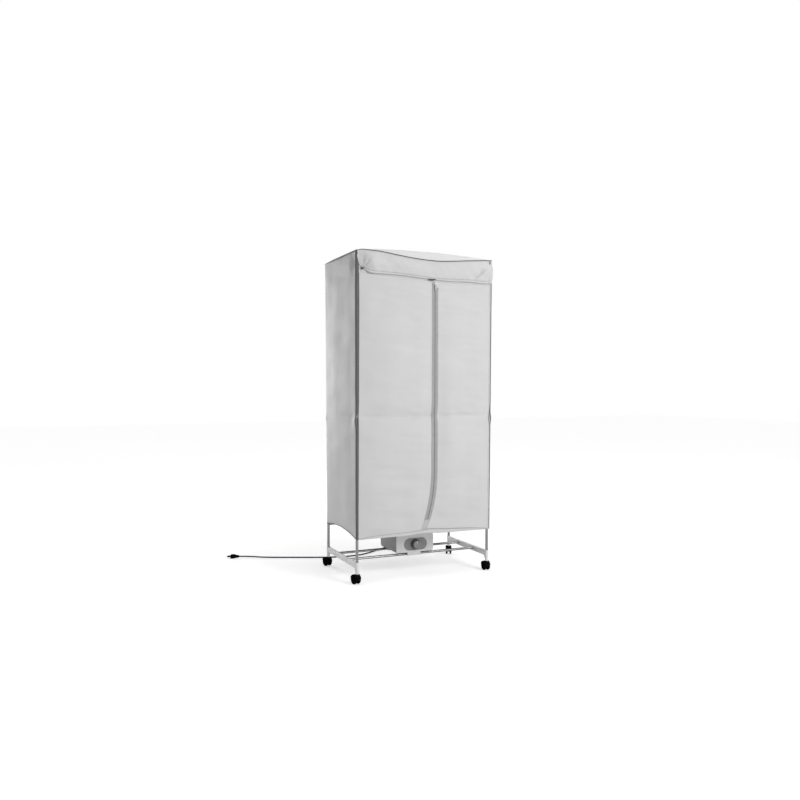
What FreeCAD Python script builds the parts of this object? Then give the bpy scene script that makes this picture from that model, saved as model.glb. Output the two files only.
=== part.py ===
"""Fabric drying cabinet on casters, with a fan heater hung under its cover.

Millimetres. X runs left to right, Y from front to back, Z up. The origin is on the
floor, in the middle of the rectangle that the four posts stand on.
"""
import FreeCAD
import Part
import math
import os
from FreeCAD import Vector

# ---- driving dimensions: frame ---------------------------------------------------
POST_X = 335.5          # post axis from the middle, left and right
POST_Y = 197.5          # post axis from the middle, front and back
POST_R = 6.5            # post tube, outside
POST_BORE_R = 5.5       # post tube, inside
POST_FOOT_Z = 80.0      # the post stands on this ledge inside its socket
JOIN_Z = 780.0          # where lower and upper posts meet
TOP_RAIL_Z = 1478.0     # axis of the four top rails
POST_TOP_Z = 1464.0
RAIL_R = 6.0            # all rails, outside
RAIL_BORE_R = 5.0
FIT = 0.02              # play of parts that are pushed together and stay

SOCKET_R = 8.5
SOCKET_BOTTOM_Z = 46.0
SOCKET_TOP_Z = 98.0
LEG_R = 7.2             # the socket tapers to this at its lower end
LEG_TAPER_Z = 76.0      # the taper starts here
BEAM_HALF_X = 7.5
BEAM_TOP_Z = 96.0
BEAM_BOTTOM_Z = 72.5
BEAM_FILLET = 12.0
BEAM_EDGE_R = 2.5       # rounding of the beam's two upper edges
SCREW_R = 2.5
SCREW_HEAD_R = 5.0
SCREW_HEAD_SUNK = 2.5
SCREW_LONG = 36.5
BOTTOM_RAIL_Y = 75.0    # rail axis from the middle, front and back
BOTTOM_RAIL_Z = 87.0
ROD_X = (-270.0, -90.0, 90.0, 270.0)
ROD_R = 5.0
HOOK_R = 8.2            # outside of a rod's hooked end
HOOK_WIDE = 12.0

# ---- driving dimensions: casters -------------------------------------------------
STEM_R = 4.0
STEM_PLAY = 0.05
WHEEL_R = 21.5
WHEEL_W = 7.5
WHEEL_INNER_Y = 6.5     # inner face of a wheel from the caster's middle plane
WHEEL_EDGE_R = 1.8
WEB_HALF = 5.9
TRAIL = 9.5             # wheel axle behind the stem
HOOD_R = 23.3
NECK_R = 6.3
AXLE_R = 2.5
# where each caster's wheels trail to, as an angle about Z
CASTER_TURN = {
    "front_left": 104.0,
    "rear_left": 108.0,
    "front_right": 90.0,
    "rear_right": 68.0,
}

# ---- driving dimensions: fabric cover --------------------------------------------
CLOTH = 1.2             # thickness of the doubled, seamed fabric
HEM_Z = 202.0
EAVES_Z = 1490.0        # top edge of the sides
HALF_WIDE = 344.0       # outside of the cover at its hem
HALF_DEEP = 207.0
FLARE_X = 0.004         # the cover widens towards the top
FLARE_Y = 0.008
CREASE_Z = 753.0        # shallow valley across the front
CREASE_DEEP = 3.0
CREASE_HALF = 75.0
SIDE_ARCH_Z = 230.0     # middle of the side's arched lower edge
BINDING_FRONT = 14.0
BINDING_SIDE = 8.0
BINDING_PROUD = 0.8
FLOOR_CLOTH_Z = 236.0

# ---- driving dimensions: front opening -------------------------------------------
SEAM_X = 46.0           # zip line, right of the middle
SEAM_BEND_Z = 490.0     # below this the zip line bends to the left
SEAM_BEND_R = 710.0
SEAM_GAP = 0.8
TAPE_W = 16.0
TAPE_PROUD = 0.7
TEETH_W = 2.6
TEETH_PROUD = 1.7
DOOR_TOP_LEFT_Z = 1397.0
DOOR_TOP_MID_Z = 1374.0
DOOR_TOP_RIGHT_Z = 1371.0
TAPE_TOP_Z = 1350.0     # the zip's top stop; the slider rests above it
SLIDER_W = 10.0
SLIDER_LONG = 20.0
SLIDER_THICK = 2.4
PULL_LONG = 22.0
PIN_OUT = 2.0           # the pull's cross pin, in front of the slider's face
PIN_R = 0.84

# ---- driving dimensions: valance (front flap) and roof ---------------------------
# X place, height of the top seam, height of the lower hem, height of the roof above
VALANCE_STATIONS = (
    (-349.0, 1493.0, 1470.0, 1494.0),
    (-318.0, 1499.0, 1422.0, 1503.0),
    (-286.0, 1498.5, 1400.0, 1506.0),
    (-226.0, 1495.5, 1397.0, 1510.0),
    (-138.0, 1484.0, 1396.0, 1512.0),
    (-32.0, 1473.0, 1388.0, 1513.0),
    (60.0, 1470.0, 1379.0, 1512.0),
    (123.0, 1473.0, 1377.0, 1510.0),
    (224.0, 1482.0, 1378.0, 1505.0),
    (300.0, 1488.0, 1378.0, 1500.0),
    (349.0, 1491.0, 1381.0, 1494.0),
)
VALANCE_THICK = 1.4
VALANCE_TOP_OUT = 1.5   # outside face of its top, in front of the cover
VALANCE_MID_OUT = 11.0
VALANCE_HEM_OUT = 8.5
# its left end is drawn up to the corner: X place, seam, hem, share of the full belly
VALANCE_LEFT_END = (
    (-342.0, 1493.5, 1470.0, 0.15),
    (-331.0, 1496.5, 1432.0, 0.30),
    (-318.0, 1499.0, 1422.0, 0.60),
)
# its right end turns onto the side: distance from the corner, how much its hem has
# risen, share of the full belly
VALANCE_RIGHT_END = (
    (5.0, 9.0, 0.70),
    (14.0, 22.0, 0.45),
)
VALANCE_CORNER_RISE = 3.0
VALANCE_CORNER_BELLY = 0.8
PIPING_R = 2.0
ROOF_FRONT_Y = -199.0

# ---- driving dimensions: heater --------------------------------------------------
CASE_HALF = 97.0
CASE_FRONT_Y = -97.0
CASE_BACK_Y = 112.0
CASE_BOTTOM_Z = 97.0
CASE_TOP_Z = 240.0
CASE_WALL = 2.5
CASE_UPRIGHT_R = 10.0   # rounding of the bowl's upright rear edges
CASE_BELLY_R = 32.0     # rounding of its lower rear edge
CASE_KEEL_R = 6.0       # rounding of its lower side edges
FASCIA_THICK = 4.0
FASCIA_TOP_Z = 190.0
FASCIA_TOP_R = 20.0     # rounding of its two upper corners
FASCIA_RIGHT_R = 13.0   # rounding of its lower right corner
FASCIA_LEFT_R = 5.0     # rounding of its lower left corner
LIP_X = (-39.0, 28.0)
LIP_BOTTOM_Z = 83.0
TONGUE_THICK = 2.4      # the tongue behind the lip rests on the front rail
HOOK_THICK = 2.6        # wall of the hooks on the rear rail
PANEL_X = 2.0           # middle of the control panel
PANEL_Z = 136.5
PANEL_LONG = 121.0
PANEL_HIGH = 59.0
PANEL_SUNK = 2.5
KNOB_X = 2.0
KNOB_R = 23.0
KNOB_OUT = 20.0
SPINDLE_R = 3.0
FAN_Y = 10.0
FAN_R = 62.0
SCREW_PLACES = ((-86.0, -85.0), (86.0, -85.0), (-86.0, 60.0), (86.0, 60.0))
RELIEF_X = 30.0
RELIEF_Z = 132.0
RELIEF_LONG = 30.0

# ---- driving dimensions: power cord ----------------------------------------------
CORD_R = 3.25
CORD_LIE = CORD_R       # height of the cord's axis where it lies on the floor
CORD_ROUTE = (
    (30.0, 142.0, 132.0),
    (30.0, 180.0, 132.0),
    (34.0, 228.0, 113.0),
    (46.0, 270.0, 82.0),
    (64.0, 310.0, 51.0),
    (84.0, 346.0, 25.0),
    (110.0, 384.0, 8.5),
    (142.0, 420.0, CORD_LIE),
    (182.0, 440.0, CORD_LIE),
    (222.0, 468.0, CORD_LIE),
    (236.0, 510.0, CORD_LIE),
    (205.0, 545.0, CORD_LIE),
    (160.0, 540.0, CORD_LIE),
    (120.0, 508.0, CORD_LIE),
    (68.0, 463.0, CORD_LIE),
    (20.0, 428.0, CORD_LIE),
    (-30.0, 397.0, CORD_LIE),
    (-80.0, 367.0, CORD_LIE),
    (-130.0, 353.0, CORD_LIE),
    (-190.0, 351.0, CORD_LIE),
    (-245.0, 361.0, CORD_LIE),
    (-300.0, 379.0, CORD_LIE),
    (-365.0, 406.0, CORD_LIE),
    (-440.0, 440.5, CORD_LIE),
    (-520.0, 476.0, CORD_LIE),
    (-595.0, 510.0, 4.2),
    (-655.0, 537.0, 8.5),
    (-701.0, 557.0, 8.5),
)
PLUG_LONG = 42.0
PLUG_WIDE = 32.0
PLUG_THICK = 17.0


# ---- small helpers ---------------------------------------------------------------
def box(x0, x1, y0, y1, z0, z1):
    """Upright box between two corners."""
    return Part.makeBox(x1 - x0, y1 - y0, z1 - z0, Vector(x0, y0, z0))


def bar(start, end, radius):
    """Round bar from one point to another."""
    a = Vector(*start)
    along = Vector(*end) - a
    return Part.makeCylinder(radius, along.Length, a, along)


def tube(start, end, outer, inner):
    """Round tube with a through bore."""
    return bar(start, end, outer).cut(bar(start, end, inner))


def face_of(points):
    """Flat face with straight sides."""
    corners = [Vector(*p) for p in points]
    return Part.Face(Part.makePolygon(corners + corners[:1]))


def slab(points, along):
    """Flat outline pushed along a direction into a solid."""
    return face_of(points).extrude(Vector(*along))


def edge_line(a, b):
    return Part.LineSegment(Vector(*a), Vector(*b)).toShape()


def edge_arc(a, mid, b):
    return Part.Arc(Vector(*a), Vector(*mid), Vector(*b)).toShape()


def group(shapes):
    """Separate solids kept together in one node."""
    solids = []
    for shape in shapes:
        solids.extend(shape.Solids)
    return Part.makeCompound(solids)


def mirrored_y(shape):
    return shape.mirror(Vector(0, 0, 0), Vector(0, 1, 0))


def mirrored_x(shape):
    return shape.mirror(Vector(0, 0, 0), Vector(1, 0, 0))


NODES = {}


def keep(name, shape):
    """Set a finished shape aside under its node name."""
    NODES[name] = shape


# ---- frame -----------------------------------------------------------------------
def post_socket(y):
    """Round socket for one post, tapering to its lower end."""
    base = Vector(-POST_X, y, SOCKET_BOTTOM_Z)
    leg = Part.makeCone(LEG_R, SOCKET_R, LEG_TAPER_Z - SOCKET_BOTTOM_Z, base, Vector(0, 0, 1))
    collar = bar((-POST_X, y, LEG_TAPER_Z), (-POST_X, y, SOCKET_TOP_Z), SOCKET_R)
    return leg.fuse(collar)


def foot_beam():
    """The beam between the sockets, with arched inner corners and rounded upper edges."""
    x0 = -POST_X - BEAM_HALF_X
    inner_y = POST_Y - SOCKET_R
    straight_y = inner_y - BEAM_FILLET
    low_z = BEAM_BOTTOM_Z - BEAM_FILLET
    bend = BEAM_FILLET * (1.0 - math.sqrt(0.5))
    edges = [
        edge_line((x0, -POST_Y, BEAM_TOP_Z), (x0, POST_Y, BEAM_TOP_Z)),
        edge_line((x0, POST_Y, BEAM_TOP_Z), (x0, POST_Y, low_z)),
        edge_line((x0, POST_Y, low_z), (x0, inner_y, low_z)),
        edge_arc(
            (x0, inner_y, low_z),
            (x0, inner_y - bend, BEAM_BOTTOM_Z - bend),
            (x0, straight_y, BEAM_BOTTOM_Z),
        ),
        edge_line((x0, straight_y, BEAM_BOTTOM_Z), (x0, -straight_y, BEAM_BOTTOM_Z)),
        edge_arc(
            (x0, -straight_y, BEAM_BOTTOM_Z),
            (x0, -inner_y + bend, BEAM_BOTTOM_Z - bend),
            (x0, -inner_y, low_z),
        ),
        edge_line((x0, -inner_y, low_z), (x0, -POST_Y, low_z)),
        edge_line((x0, -POST_Y, low_z), (x0, -POST_Y, BEAM_TOP_Z)),
    ]
    beam = Part.Face(Part.Wire(edges)).extrude(Vector(2 * BEAM_HALF_X, 0, 0))
    upper = [e for e in beam.Edges if e.BoundBox.ZMin > BEAM_TOP_Z - 0.01 and e.Length > POST_Y]
    return beam.makeFillet(BEAM_EDGE_R, upper)


def foot():
    """Left end moulding: a beam on two post sockets."""
    shape = foot_beam()
    for y in (-POST_Y, POST_Y):
        shape = shape.fuse(post_socket(y))
    for y in (-POST_Y, POST_Y):
        post_hole = bar((-POST_X, y, POST_FOOT_Z), (-POST_X, y, SOCKET_TOP_Z + 3), POST_R + FIT)
        stem_hole = bar(
            (-POST_X, y, SOCKET_BOTTOM_Z - 1), (-POST_X, y, POST_FOOT_Z - 2), STEM_R + STEM_PLAY
        )
        shape = shape.cut(post_hole).cut(stem_hole)
    outside = -POST_X - BEAM_HALF_X
    inside = -POST_X + BEAM_HALF_X
    for y in (-BOTTOM_RAIL_Y, BOTTOM_RAIL_Y):
        z = BOTTOM_RAIL_Z
        shank_hole = bar((outside, y, z), (inside, y, z), SCREW_R + FIT)
        head_hole = bar((outside, y, z), (outside + SCREW_HEAD_SUNK, y, z), SCREW_HEAD_R + 0.2)
        shape = shape.cut(shank_hole).cut(head_hole)
    return shape.removeSplitter()


def bottom_rail(y):
    """Round rail with a tapped hole in each end."""
    half = POST_X - BEAM_HALF_X
    shape = bar((-half, y, BOTTOM_RAIL_Z), (half, y, BOTTOM_RAIL_Z), RAIL_R)
    for side in (-1, 1):
        end = side * (half - SCREW_LONG + 2 * BEAM_HALF_X - SCREW_HEAD_SUNK - 3)
        hole = bar((side * half, y, BOTTOM_RAIL_Z), (end, y, BOTTOM_RAIL_Z), SCREW_R + FIT)
        shape = shape.cut(hole)
    return shape


def rail_screws():
    """Four pan-head screws through the feet into the bottom rails."""
    outside = POST_X + BEAM_HALF_X
    seat = outside - SCREW_HEAD_SUNK
    z = BOTTOM_RAIL_Z
    screws = []
    for y in (-BOTTOM_RAIL_Y, BOTTOM_RAIL_Y):
        head = bar((seat, y, z), (outside + 0.4, y, z), SCREW_HEAD_R)
        shank = bar((seat - SCREW_LONG, y, z), (seat, y, z), SCREW_R)
        slot = box(outside - 0.6, outside + 0.4, y - SCREW_HEAD_R, y + SCREW_HEAD_R, z - 0.6, z + 0.6)
        screw = head.fuse(shank).cut(slot)
        screws += [screw, mirrored_x(screw)]
    return group(screws)


def post(side_x, side_y, low, high):
    x = side_x * POST_X
    y = side_y * POST_Y
    return tube((x, y, low), (x, y, high), POST_R, POST_BORE_R)


def mid_connector():
    """Rear right sleeve that joins two posts, with a stub for the side rail."""
    x = POST_X
    y = POST_Y
    body = bar((x, y, JOIN_Z - 26), (x, y, JOIN_Z + 26), POST_R + 2.5)
    body = body.fuse(bar((x, y, JOIN_Z), (x, y - 34, JOIN_Z), RAIL_R + 2.3))
    low_hole = bar((x, y, JOIN_Z - 30), (x, y, JOIN_Z - 1), POST_R + FIT)
    high_hole = bar((x, y, JOIN_Z + 1), (x, y, JOIN_Z + 30), POST_R + FIT)
    rail_hole = bar((x, y - 12, JOIN_Z), (x, y - 40, JOIN_Z), RAIL_R + FIT)
    return body.cut(low_hole).cut(high_hole).cut(rail_hole)


def top_connector():
    """Rear right three-way corner: socket for the post and for two top rails."""
    x = POST_X
    y = POST_Y
    z = TOP_RAIL_Z
    body = bar((x, y, z - 40), (x, y, z + 8.6), 8.8)
    body = body.fuse(bar((x, y, z), (x - 40, y, z), 8.3))
    body = body.fuse(bar((x, y, z), (x, y - 40, z), 8.3))
    post_hole = bar((x, y, z - 45), (x, y, POST_TOP_Z), POST_R + FIT)
    x_hole = bar((x - 12, y, z), (x - 45, y, z), RAIL_R + FIT)
    y_hole = bar((x, y - 12, z), (x, y - 45, z), RAIL_R + FIT)
    return body.cut(post_hole).cut(x_hole).cut(y_hole)


def four_corners(shape):
    """A rear right piece and its three mirror images."""
    left = mirrored_x(shape)
    return group([shape, left, mirrored_y(shape), mirrored_y(left)])


def hanging_rods():
    """Rods for hangers, front to back, each hooked over the front and rear top rails."""
    reach = POST_Y - RAIL_R - 0.6
    half = HOOK_WIDE / 2
    z = TOP_RAIL_Z
    rods = []
    for x in ROD_X:
        shape = bar((x, -reach, z), (x, reach, z), ROD_R)
        for y in (-POST_Y, POST_Y):
            ring = tube((x - half, y, z), (x + half, y, z), HOOK_R, RAIL_R + FIT)
            mouth = box(x - HOOK_R, x + HOOK_R, y - HOOK_R, y + HOOK_R, z - 2 * HOOK_R, z - 3)
            shape = shape.fuse(ring.cut(mouth))
        rods.append(shape)
    return group(rods)


def build_frame():
    left = foot()
    keep("left_foot", left)
    keep("right_foot", mirrored_x(left))
    keep("bottom_rail_front", bottom_rail(-BOTTOM_RAIL_Y))
    keep("bottom_rail_rear", bottom_rail(BOTTOM_RAIL_Y))
    keep("rail_screws", rail_screws())
    for name, side_x, side_y in CORNERS:
        keep("lower_post_" + name, post(side_x, side_y, POST_FOOT_Z, JOIN_Z - 1))
        keep("upper_post_" + name, post(side_x, side_y, JOIN_Z + 1, POST_TOP_Z))
    keep("mid_connectors", four_corners(mid_connector()))
    reach = POST_Y - 12
    for name, side_x in (("left", -1), ("right", 1)):
        x = side_x * POST_X
        keep("mid_rail_" + name, tube((x, -reach, JOIN_Z), (x, reach, JOIN_Z), RAIL_R, RAIL_BORE_R))
        keep(
            "top_rail_" + name,
            tube((x, -reach, TOP_RAIL_Z), (x, reach, TOP_RAIL_Z), RAIL_R, RAIL_BORE_R),
        )
    keep("top_corner_connectors", four_corners(top_connector()))
    reach = POST_X - 12
    for name, side_y in (("front", -1), ("rear", 1)):
        y = side_y * POST_Y
        keep(
            "top_rail_" + name,
            tube((-reach, y, TOP_RAIL_Z), (reach, y, TOP_RAIL_Z), RAIL_R, RAIL_BORE_R),
        )
    keep("hanging_rods", hanging_rods())


CORNERS = (
    ("front_left", -1, -1),
    ("front_right", 1, -1),
    ("rear_left", -1, 1),
    ("rear_right", 1, 1),
)


# ---- casters ---------------------------------------------------------------------
def caster_hood():
    """Stem, web and mudguard, with the wheels trailing towards +X."""
    wide = WHEEL_INNER_Y + WHEEL_W + 0.3
    top_z = SOCKET_BOTTOM_Z - 0.4
    low, high = (TRAIL, -wide, WHEEL_R), (TRAIL, wide, WHEEL_R)
    guard = tube(low, high, HOOD_R, WHEEL_R + 0.7)
    guard = guard.common(box(-60, 60, -40, 40, WHEEL_R + 5, 60))
    web = bar((TRAIL, -WEB_HALF, WHEEL_R), (TRAIL, WEB_HALF, WHEEL_R), HOOD_R - 0.4)
    web = web.common(box(-60, 60, -40, 40, WHEEL_R - 6, 60))
    neck = bar((0, 0, WHEEL_R + 8), (0, 0, top_z), NECK_R)
    neck = neck.common(box(-20, 20, -WEB_HALF, WEB_HALF, 0, 60))
    ledge = bar((0, 0, WHEEL_R + HOOD_R - 2.2), (0, 0, top_z), NECK_R)
    stem = bar((0, 0, WHEEL_R + 14), (0, 0, POST_FOOT_Z - 3), STEM_R)
    shape = guard.fuse(web).fuse(neck).fuse(ledge).fuse(stem)
    hole = bar((TRAIL, -20, WHEEL_R), (TRAIL, 20, WHEEL_R), AXLE_R + STEM_PLAY)
    return shape.cut(hole).removeSplitter()


def caster_wheel(side):
    """One wheel: rounded tread, sunk outer face and a hub on the axle."""
    y0 = side * WHEEL_INNER_Y
    y1 = side * (WHEEL_INNER_Y + WHEEL_W)
    disc = bar((TRAIL, y0, WHEEL_R), (TRAIL, y1, WHEEL_R), WHEEL_R)
    rims = [e for e in disc.Edges if hasattr(e.Curve, "Radius")]
    disc = disc.makeFillet(WHEEL_EDGE_R, rims)
    dish = tube(
        (TRAIL, y1 - side * 1.6, WHEEL_R), (TRAIL, y1 + side, WHEEL_R), WHEEL_R - 6.5, 6.0
    )
    bore = bar((TRAIL, -40, WHEEL_R), (TRAIL, 40, WHEEL_R), AXLE_R + FIT)
    return disc.cut(dish).cut(bore)


def caster_wheels():
    """Two wheels and the axle pin that they share."""
    end = WHEEL_INNER_Y + WHEEL_W - 0.5
    axle = bar((TRAIL, -end, WHEEL_R), (TRAIL, end, WHEEL_R), AXLE_R)
    return group([caster_wheel(-1), caster_wheel(1), axle])


def build_casters():
    hood = caster_hood()
    wheels = caster_wheels()
    for name, side_x, side_y in CORNERS:
        place = Vector(side_x * POST_X, side_y * POST_Y, 0)
        for kind, shape in (("caster_hood_", hood), ("caster_wheels_", wheels)):
            piece = shape.copy()
            piece.rotate(Vector(0, 0, 0), Vector(0, 0, 1), CASTER_TURN[name])
            piece.translate(place)
            keep(kind + name, piece)


# ---- fabric cover ----------------------------------------------------------------
def half_wide(z):
    return HALF_WIDE + (z - HEM_Z) * FLARE_X


def half_deep(z):
    return HALF_DEEP + (z - HEM_Z) * FLARE_Y


def front_y(z):
    """Outside of the front fabric, with the crease half way up."""
    near = max(0.0, 1.0 - abs(z - CREASE_Z) / CREASE_HALF)
    return -half_deep(z) + CREASE_DEEP * near


def front_heights(low, high):
    """Heights at which the front fabric's profile bends."""
    bends = (CREASE_Z - CREASE_HALF, CREASE_Z, CREASE_Z + CREASE_HALF)
    return [low] + [z for z in bends if low < z < high] + [high]


def front_sheet(low, high, x0, x1, proud, thick):
    """Upright sheet along the front, its face standing proud of the cover's face."""
    heights = front_heights(low, high)
    outer = [(x0, front_y(z) - proud, z) for z in heights]
    inner = [(x0, front_y(z) - proud + thick, z) for z in reversed(heights)]
    return slab(outer + inner, (x1 - x0, 0, 0))


def seam_x(z):
    """The zip line's X at a height."""
    if z >= SEAM_BEND_Z:
        return SEAM_X
    drop = SEAM_BEND_Z - z
    return SEAM_X - SEAM_BEND_R + math.sqrt(SEAM_BEND_R ** 2 - drop ** 2)


def seam_edges(shift, high):
    """Line and arc along the zip line, shifted sideways, from the hem upwards."""
    y = -400.0
    mid_z = (HEM_Z + SEAM_BEND_Z) / 2
    radius = SEAM_BEND_R + shift
    middle = SEAM_X - SEAM_BEND_R

    def point(z):
        drop = SEAM_BEND_Z - z
        return (middle + math.sqrt(radius ** 2 - drop ** 2), y, z)

    arc = edge_arc(point(HEM_Z), point(mid_z), point(SEAM_BEND_Z))
    line = edge_line(point(SEAM_BEND_Z), (SEAM_X + shift, y, high))
    return [arc, line]


def prism_to_seam(corners, shift, high):
    """Outline that follows the shifted zip line on one side, pushed along Y.

    corners run from the top of the zip line round to its foot.
    """
    y = -400.0
    edges = seam_edges(shift, high)
    top = (SEAM_X + shift, y, high)
    foot_vertex = edges[0].Vertexes[0].Point
    path = [top] + [(x, y, z) for x, z in corners] + [(foot_vertex.x, y, foot_vertex.z)]
    for a, b in zip(path[:-1], path[1:]):
        edges.append(edge_line(a, b))
    wire = Part.Wire(Part.__sortEdges__(edges))
    return Part.Face(wire).extrude(Vector(0, 300, 0))


def hinge_x(z):
    """Outer edge of a door, beside the corner binding."""
    return half_wide(z) - BINDING_FRONT - 0.5


def door_left():
    top_x = SEAM_X - SEAM_GAP / 2
    outline = prism_to_seam(
        [(-hinge_x(DOOR_TOP_LEFT_Z), DOOR_TOP_LEFT_Z), (-hinge_x(HEM_Z), HEM_Z)],
        -SEAM_GAP / 2,
        DOOR_TOP_MID_Z,
    )
    sheet = front_sheet(HEM_Z, DOOR_TOP_LEFT_Z + 5, -400, top_x + 1, 0, CLOTH)
    return sheet.common(outline)


def door_right():
    outline = prism_to_seam(
        [(hinge_x(DOOR_TOP_RIGHT_Z), DOOR_TOP_RIGHT_Z), (hinge_x(HEM_Z), HEM_Z)],
        SEAM_GAP / 2,
        DOOR_TOP_MID_Z,
    )
    sheet = front_sheet(HEM_Z, DOOR_TOP_MID_Z + 5, -100, 400, 0, CLOTH)
    notch = box(
        SEAM_X - 1, SEAM_X + SLIDER_W / 2 + 0.8, -300, -100, TAPE_TOP_Z, DOOR_TOP_MID_Z + 10
    )
    return sheet.common(outline).cut(notch)


def zip_tape(side, high):
    """Half of the zip: a woven tape with its row of teeth at the seam."""
    near = side * 0.25
    far = side * (TAPE_W + 0.4)
    teeth = side * (0.25 + TEETH_W)
    wide = front_sheet(HEM_Z, high, -200, 200, TAPE_PROUD, TAPE_PROUD)
    thick = front_sheet(HEM_Z, high, -200, 200, TEETH_PROUD, TEETH_PROUD - TAPE_PROUD + 0.2)
    room = prism_to_seam([(side * 350, high), (side * 350, HEM_Z)], near, high)
    cut_far = prism_to_seam([(side * 350, high), (side * 350, HEM_Z)], far, high)
    cut_teeth = prism_to_seam([(side * 350, high), (side * 350, HEM_Z)], teeth, high)
    tape = wide.common(room).cut(cut_far)
    row = thick.common(room).cut(cut_teeth)
    return tape.fuse(row).removeSplitter()


def zip_slider():
    """Slider plate with a lug for its pull, just under the valance."""
    low = TAPE_TOP_Z + 1.5
    y = front_y(low) - TEETH_PROUD - 0.3
    plate = box(
        SEAM_X - SLIDER_W / 2, SEAM_X + SLIDER_W / 2, y - SLIDER_THICK, y, low, low + SLIDER_LONG
    )
    corner = [e for e in plate.Edges if abs(e.Length - SLIDER_THICK) < 0.01]
    plate = plate.makeFillet(3.0, corner)
    face = y - SLIDER_THICK
    pin_z = low + 6.0
    lug = box(SEAM_X - 1.2, SEAM_X + 1.2, face - PIN_OUT - 1.7, face + 1, pin_z - 2.5, pin_z + 6)
    hole = bar((SEAM_X - 5, face - PIN_OUT, pin_z), (SEAM_X + 5, face - PIN_OUT, pin_z), PIN_R + 0.06)
    return plate.fuse(lug).cut(hole)


def zip_pull():
    """Flat pull that hangs from the slider's lug on a cross pin."""
    low = TAPE_TOP_Z + 1.5
    y = front_y(low) - TEETH_PROUD - 0.3 - SLIDER_THICK - PIN_OUT
    z = low + 6.0
    pin = bar((SEAM_X - 3.4, y, z), (SEAM_X + 3.4, y, z), PIN_R)
    plate = box(SEAM_X - 3.4, SEAM_X + 3.4, y - 0.7, y + 0.7, z - PULL_LONG, z + 1.4)
    window = box(SEAM_X - 1.9, SEAM_X + 1.9, y - 2, y + 2, z - 7.0, z + 3.0)
    low_edges = [
        e for e in plate.Edges
        if abs(e.Length - 1.4) < 0.01 and e.CenterOfMass.z < z - PULL_LONG + 1
    ]
    return plate.makeFillet(2.6, low_edges).cut(window).fuse(pin)


def header():
    """Fixed strip of the front between the doors' top and the roof, behind the valance."""
    low_line = 0.8
    y = -400.0
    points = (
        (-hinge_x(EAVES_Z), y, EAVES_Z - 1.5),
        (-hinge_x(DOOR_TOP_LEFT_Z), y, DOOR_TOP_LEFT_Z + low_line),
        (SEAM_X, y, DOOR_TOP_MID_Z + low_line),
        (hinge_x(DOOR_TOP_RIGHT_Z), y, DOOR_TOP_RIGHT_Z + low_line),
        (hinge_x(EAVES_Z), y, EAVES_Z - 1.5),
        (230.0, y, 1480.0),
        (60.0, y, 1463.0),
        (-130.0, y, 1478.0),
    )
    outline = slab(points, (0, 300, 0))
    sheet = front_sheet(DOOR_TOP_RIGHT_Z, EAVES_Z, -400, 400, 0, CLOTH)
    return sheet.common(outline)


def side_sheet():
    """Right side: arched lower edge, straight top edge."""
    low = HEM_Z
    points = [
        (half_wide(low), -400, low),
        (half_wide(EAVES_Z), -400, EAVES_Z),
        (half_wide(EAVES_Z) - CLOTH, -400, EAVES_Z),
        (half_wide(low) - CLOTH, -400, low),
    ]
    sheet = slab(points, (0, 800, 0))
    front = HALF_DEEP - CLOTH - 0.05
    grow = (EAVES_Z - HEM_Z) * FLARE_Y
    x = 200.0
    edges = [
        edge_arc((x, -front, HEM_Z + 4), (x, -20, SIDE_ARCH_Z), (x, front, HEM_Z + 8)),
        edge_line((x, front, HEM_Z + 8), (x, front + grow, EAVES_Z)),
        edge_line((x, front + grow, EAVES_Z), (x, -front - grow, EAVES_Z)),
        edge_line((x, -front - grow, EAVES_Z), (x, -front, HEM_Z + 4)),
    ]
    outline = Part.Face(Part.Wire(edges)).extrude(Vector(300, 0, 0))
    return sheet.common(outline)


def back_sheet():
    low = HEM_Z
    points = [
        (-400, half_deep(low), low),
        (-400, half_deep(EAVES_Z), EAVES_Z),
        (-400, half_deep(EAVES_Z) - CLOTH, EAVES_Z),
        (-400, half_deep(low) - CLOTH, low),
    ]
    sheet = slab(points, (800, 0, 0))
    outline = slab(
        [
            (-half_wide(low), 0, low),
            (half_wide(low), 0, low),
            (half_wide(EAVES_Z), 0, EAVES_Z),
            (-half_wide(EAVES_Z), 0, EAVES_Z),
        ],
        (0, 400, 0),
    )
    return sheet.common(outline)


def corner_binding():
    """Left front binding: an angle strip over the corner, 14 mm on the front."""

    def section(z):
        hx = half_wide(z)
        hy = half_deep(z)
        points = (
            (-hx - BINDING_PROUD, -hy - BINDING_PROUD, z),
            (-hx + BINDING_FRONT, -hy - BINDING_PROUD, z),
            (-hx + BINDING_FRONT, -hy + CLOTH, z),
            (-hx, -hy + CLOTH, z),
            (-hx, -hy + BINDING_SIDE, z),
            (-hx - BINDING_PROUD, -hy + BINDING_SIDE, z),
        )
        corners = [Vector(*p) for p in points]
        return Part.makePolygon(corners + corners[:1])

    return Part.makeLoft([section(HEM_Z), section(EAVES_Z - 6)], True, True)


def roof():
    """Roof sheet, crowned in the middle, that rolls down to the seam of the valance."""
    back_y = half_deep(EAVES_Z)
    wires = []
    for x, seam_z, _, crown in VALANCE_STATIONS:
        rise = crown - EAVES_Z
        outer = (
            (back_y, EAVES_Z + CLOTH),
            (back_y - 40, EAVES_Z + CLOTH + 0.55 * rise),
            (60.0, EAVES_Z + CLOTH + 0.85 * rise),
            (ROOF_FRONT_Y + 30, crown + CLOTH),
            (ROOF_FRONT_Y, crown),
            (-half_deep(EAVES_Z), seam_z + CLOTH),
        )
        inner = [(y, z - CLOTH) for y, z in outer]
        inner[-1] = (-half_deep(EAVES_Z) + CLOTH, seam_z - 0.5)
        inner[-2] = (ROOF_FRONT_Y + CLOTH, crown - CLOTH)
        ring = [Vector(x, y, z) for y, z in list(outer) + inner[::-1]]
        wires.append(Part.makePolygon(ring + ring[:1]))
    return Part.makeLoft(wires, True, True)


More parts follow.
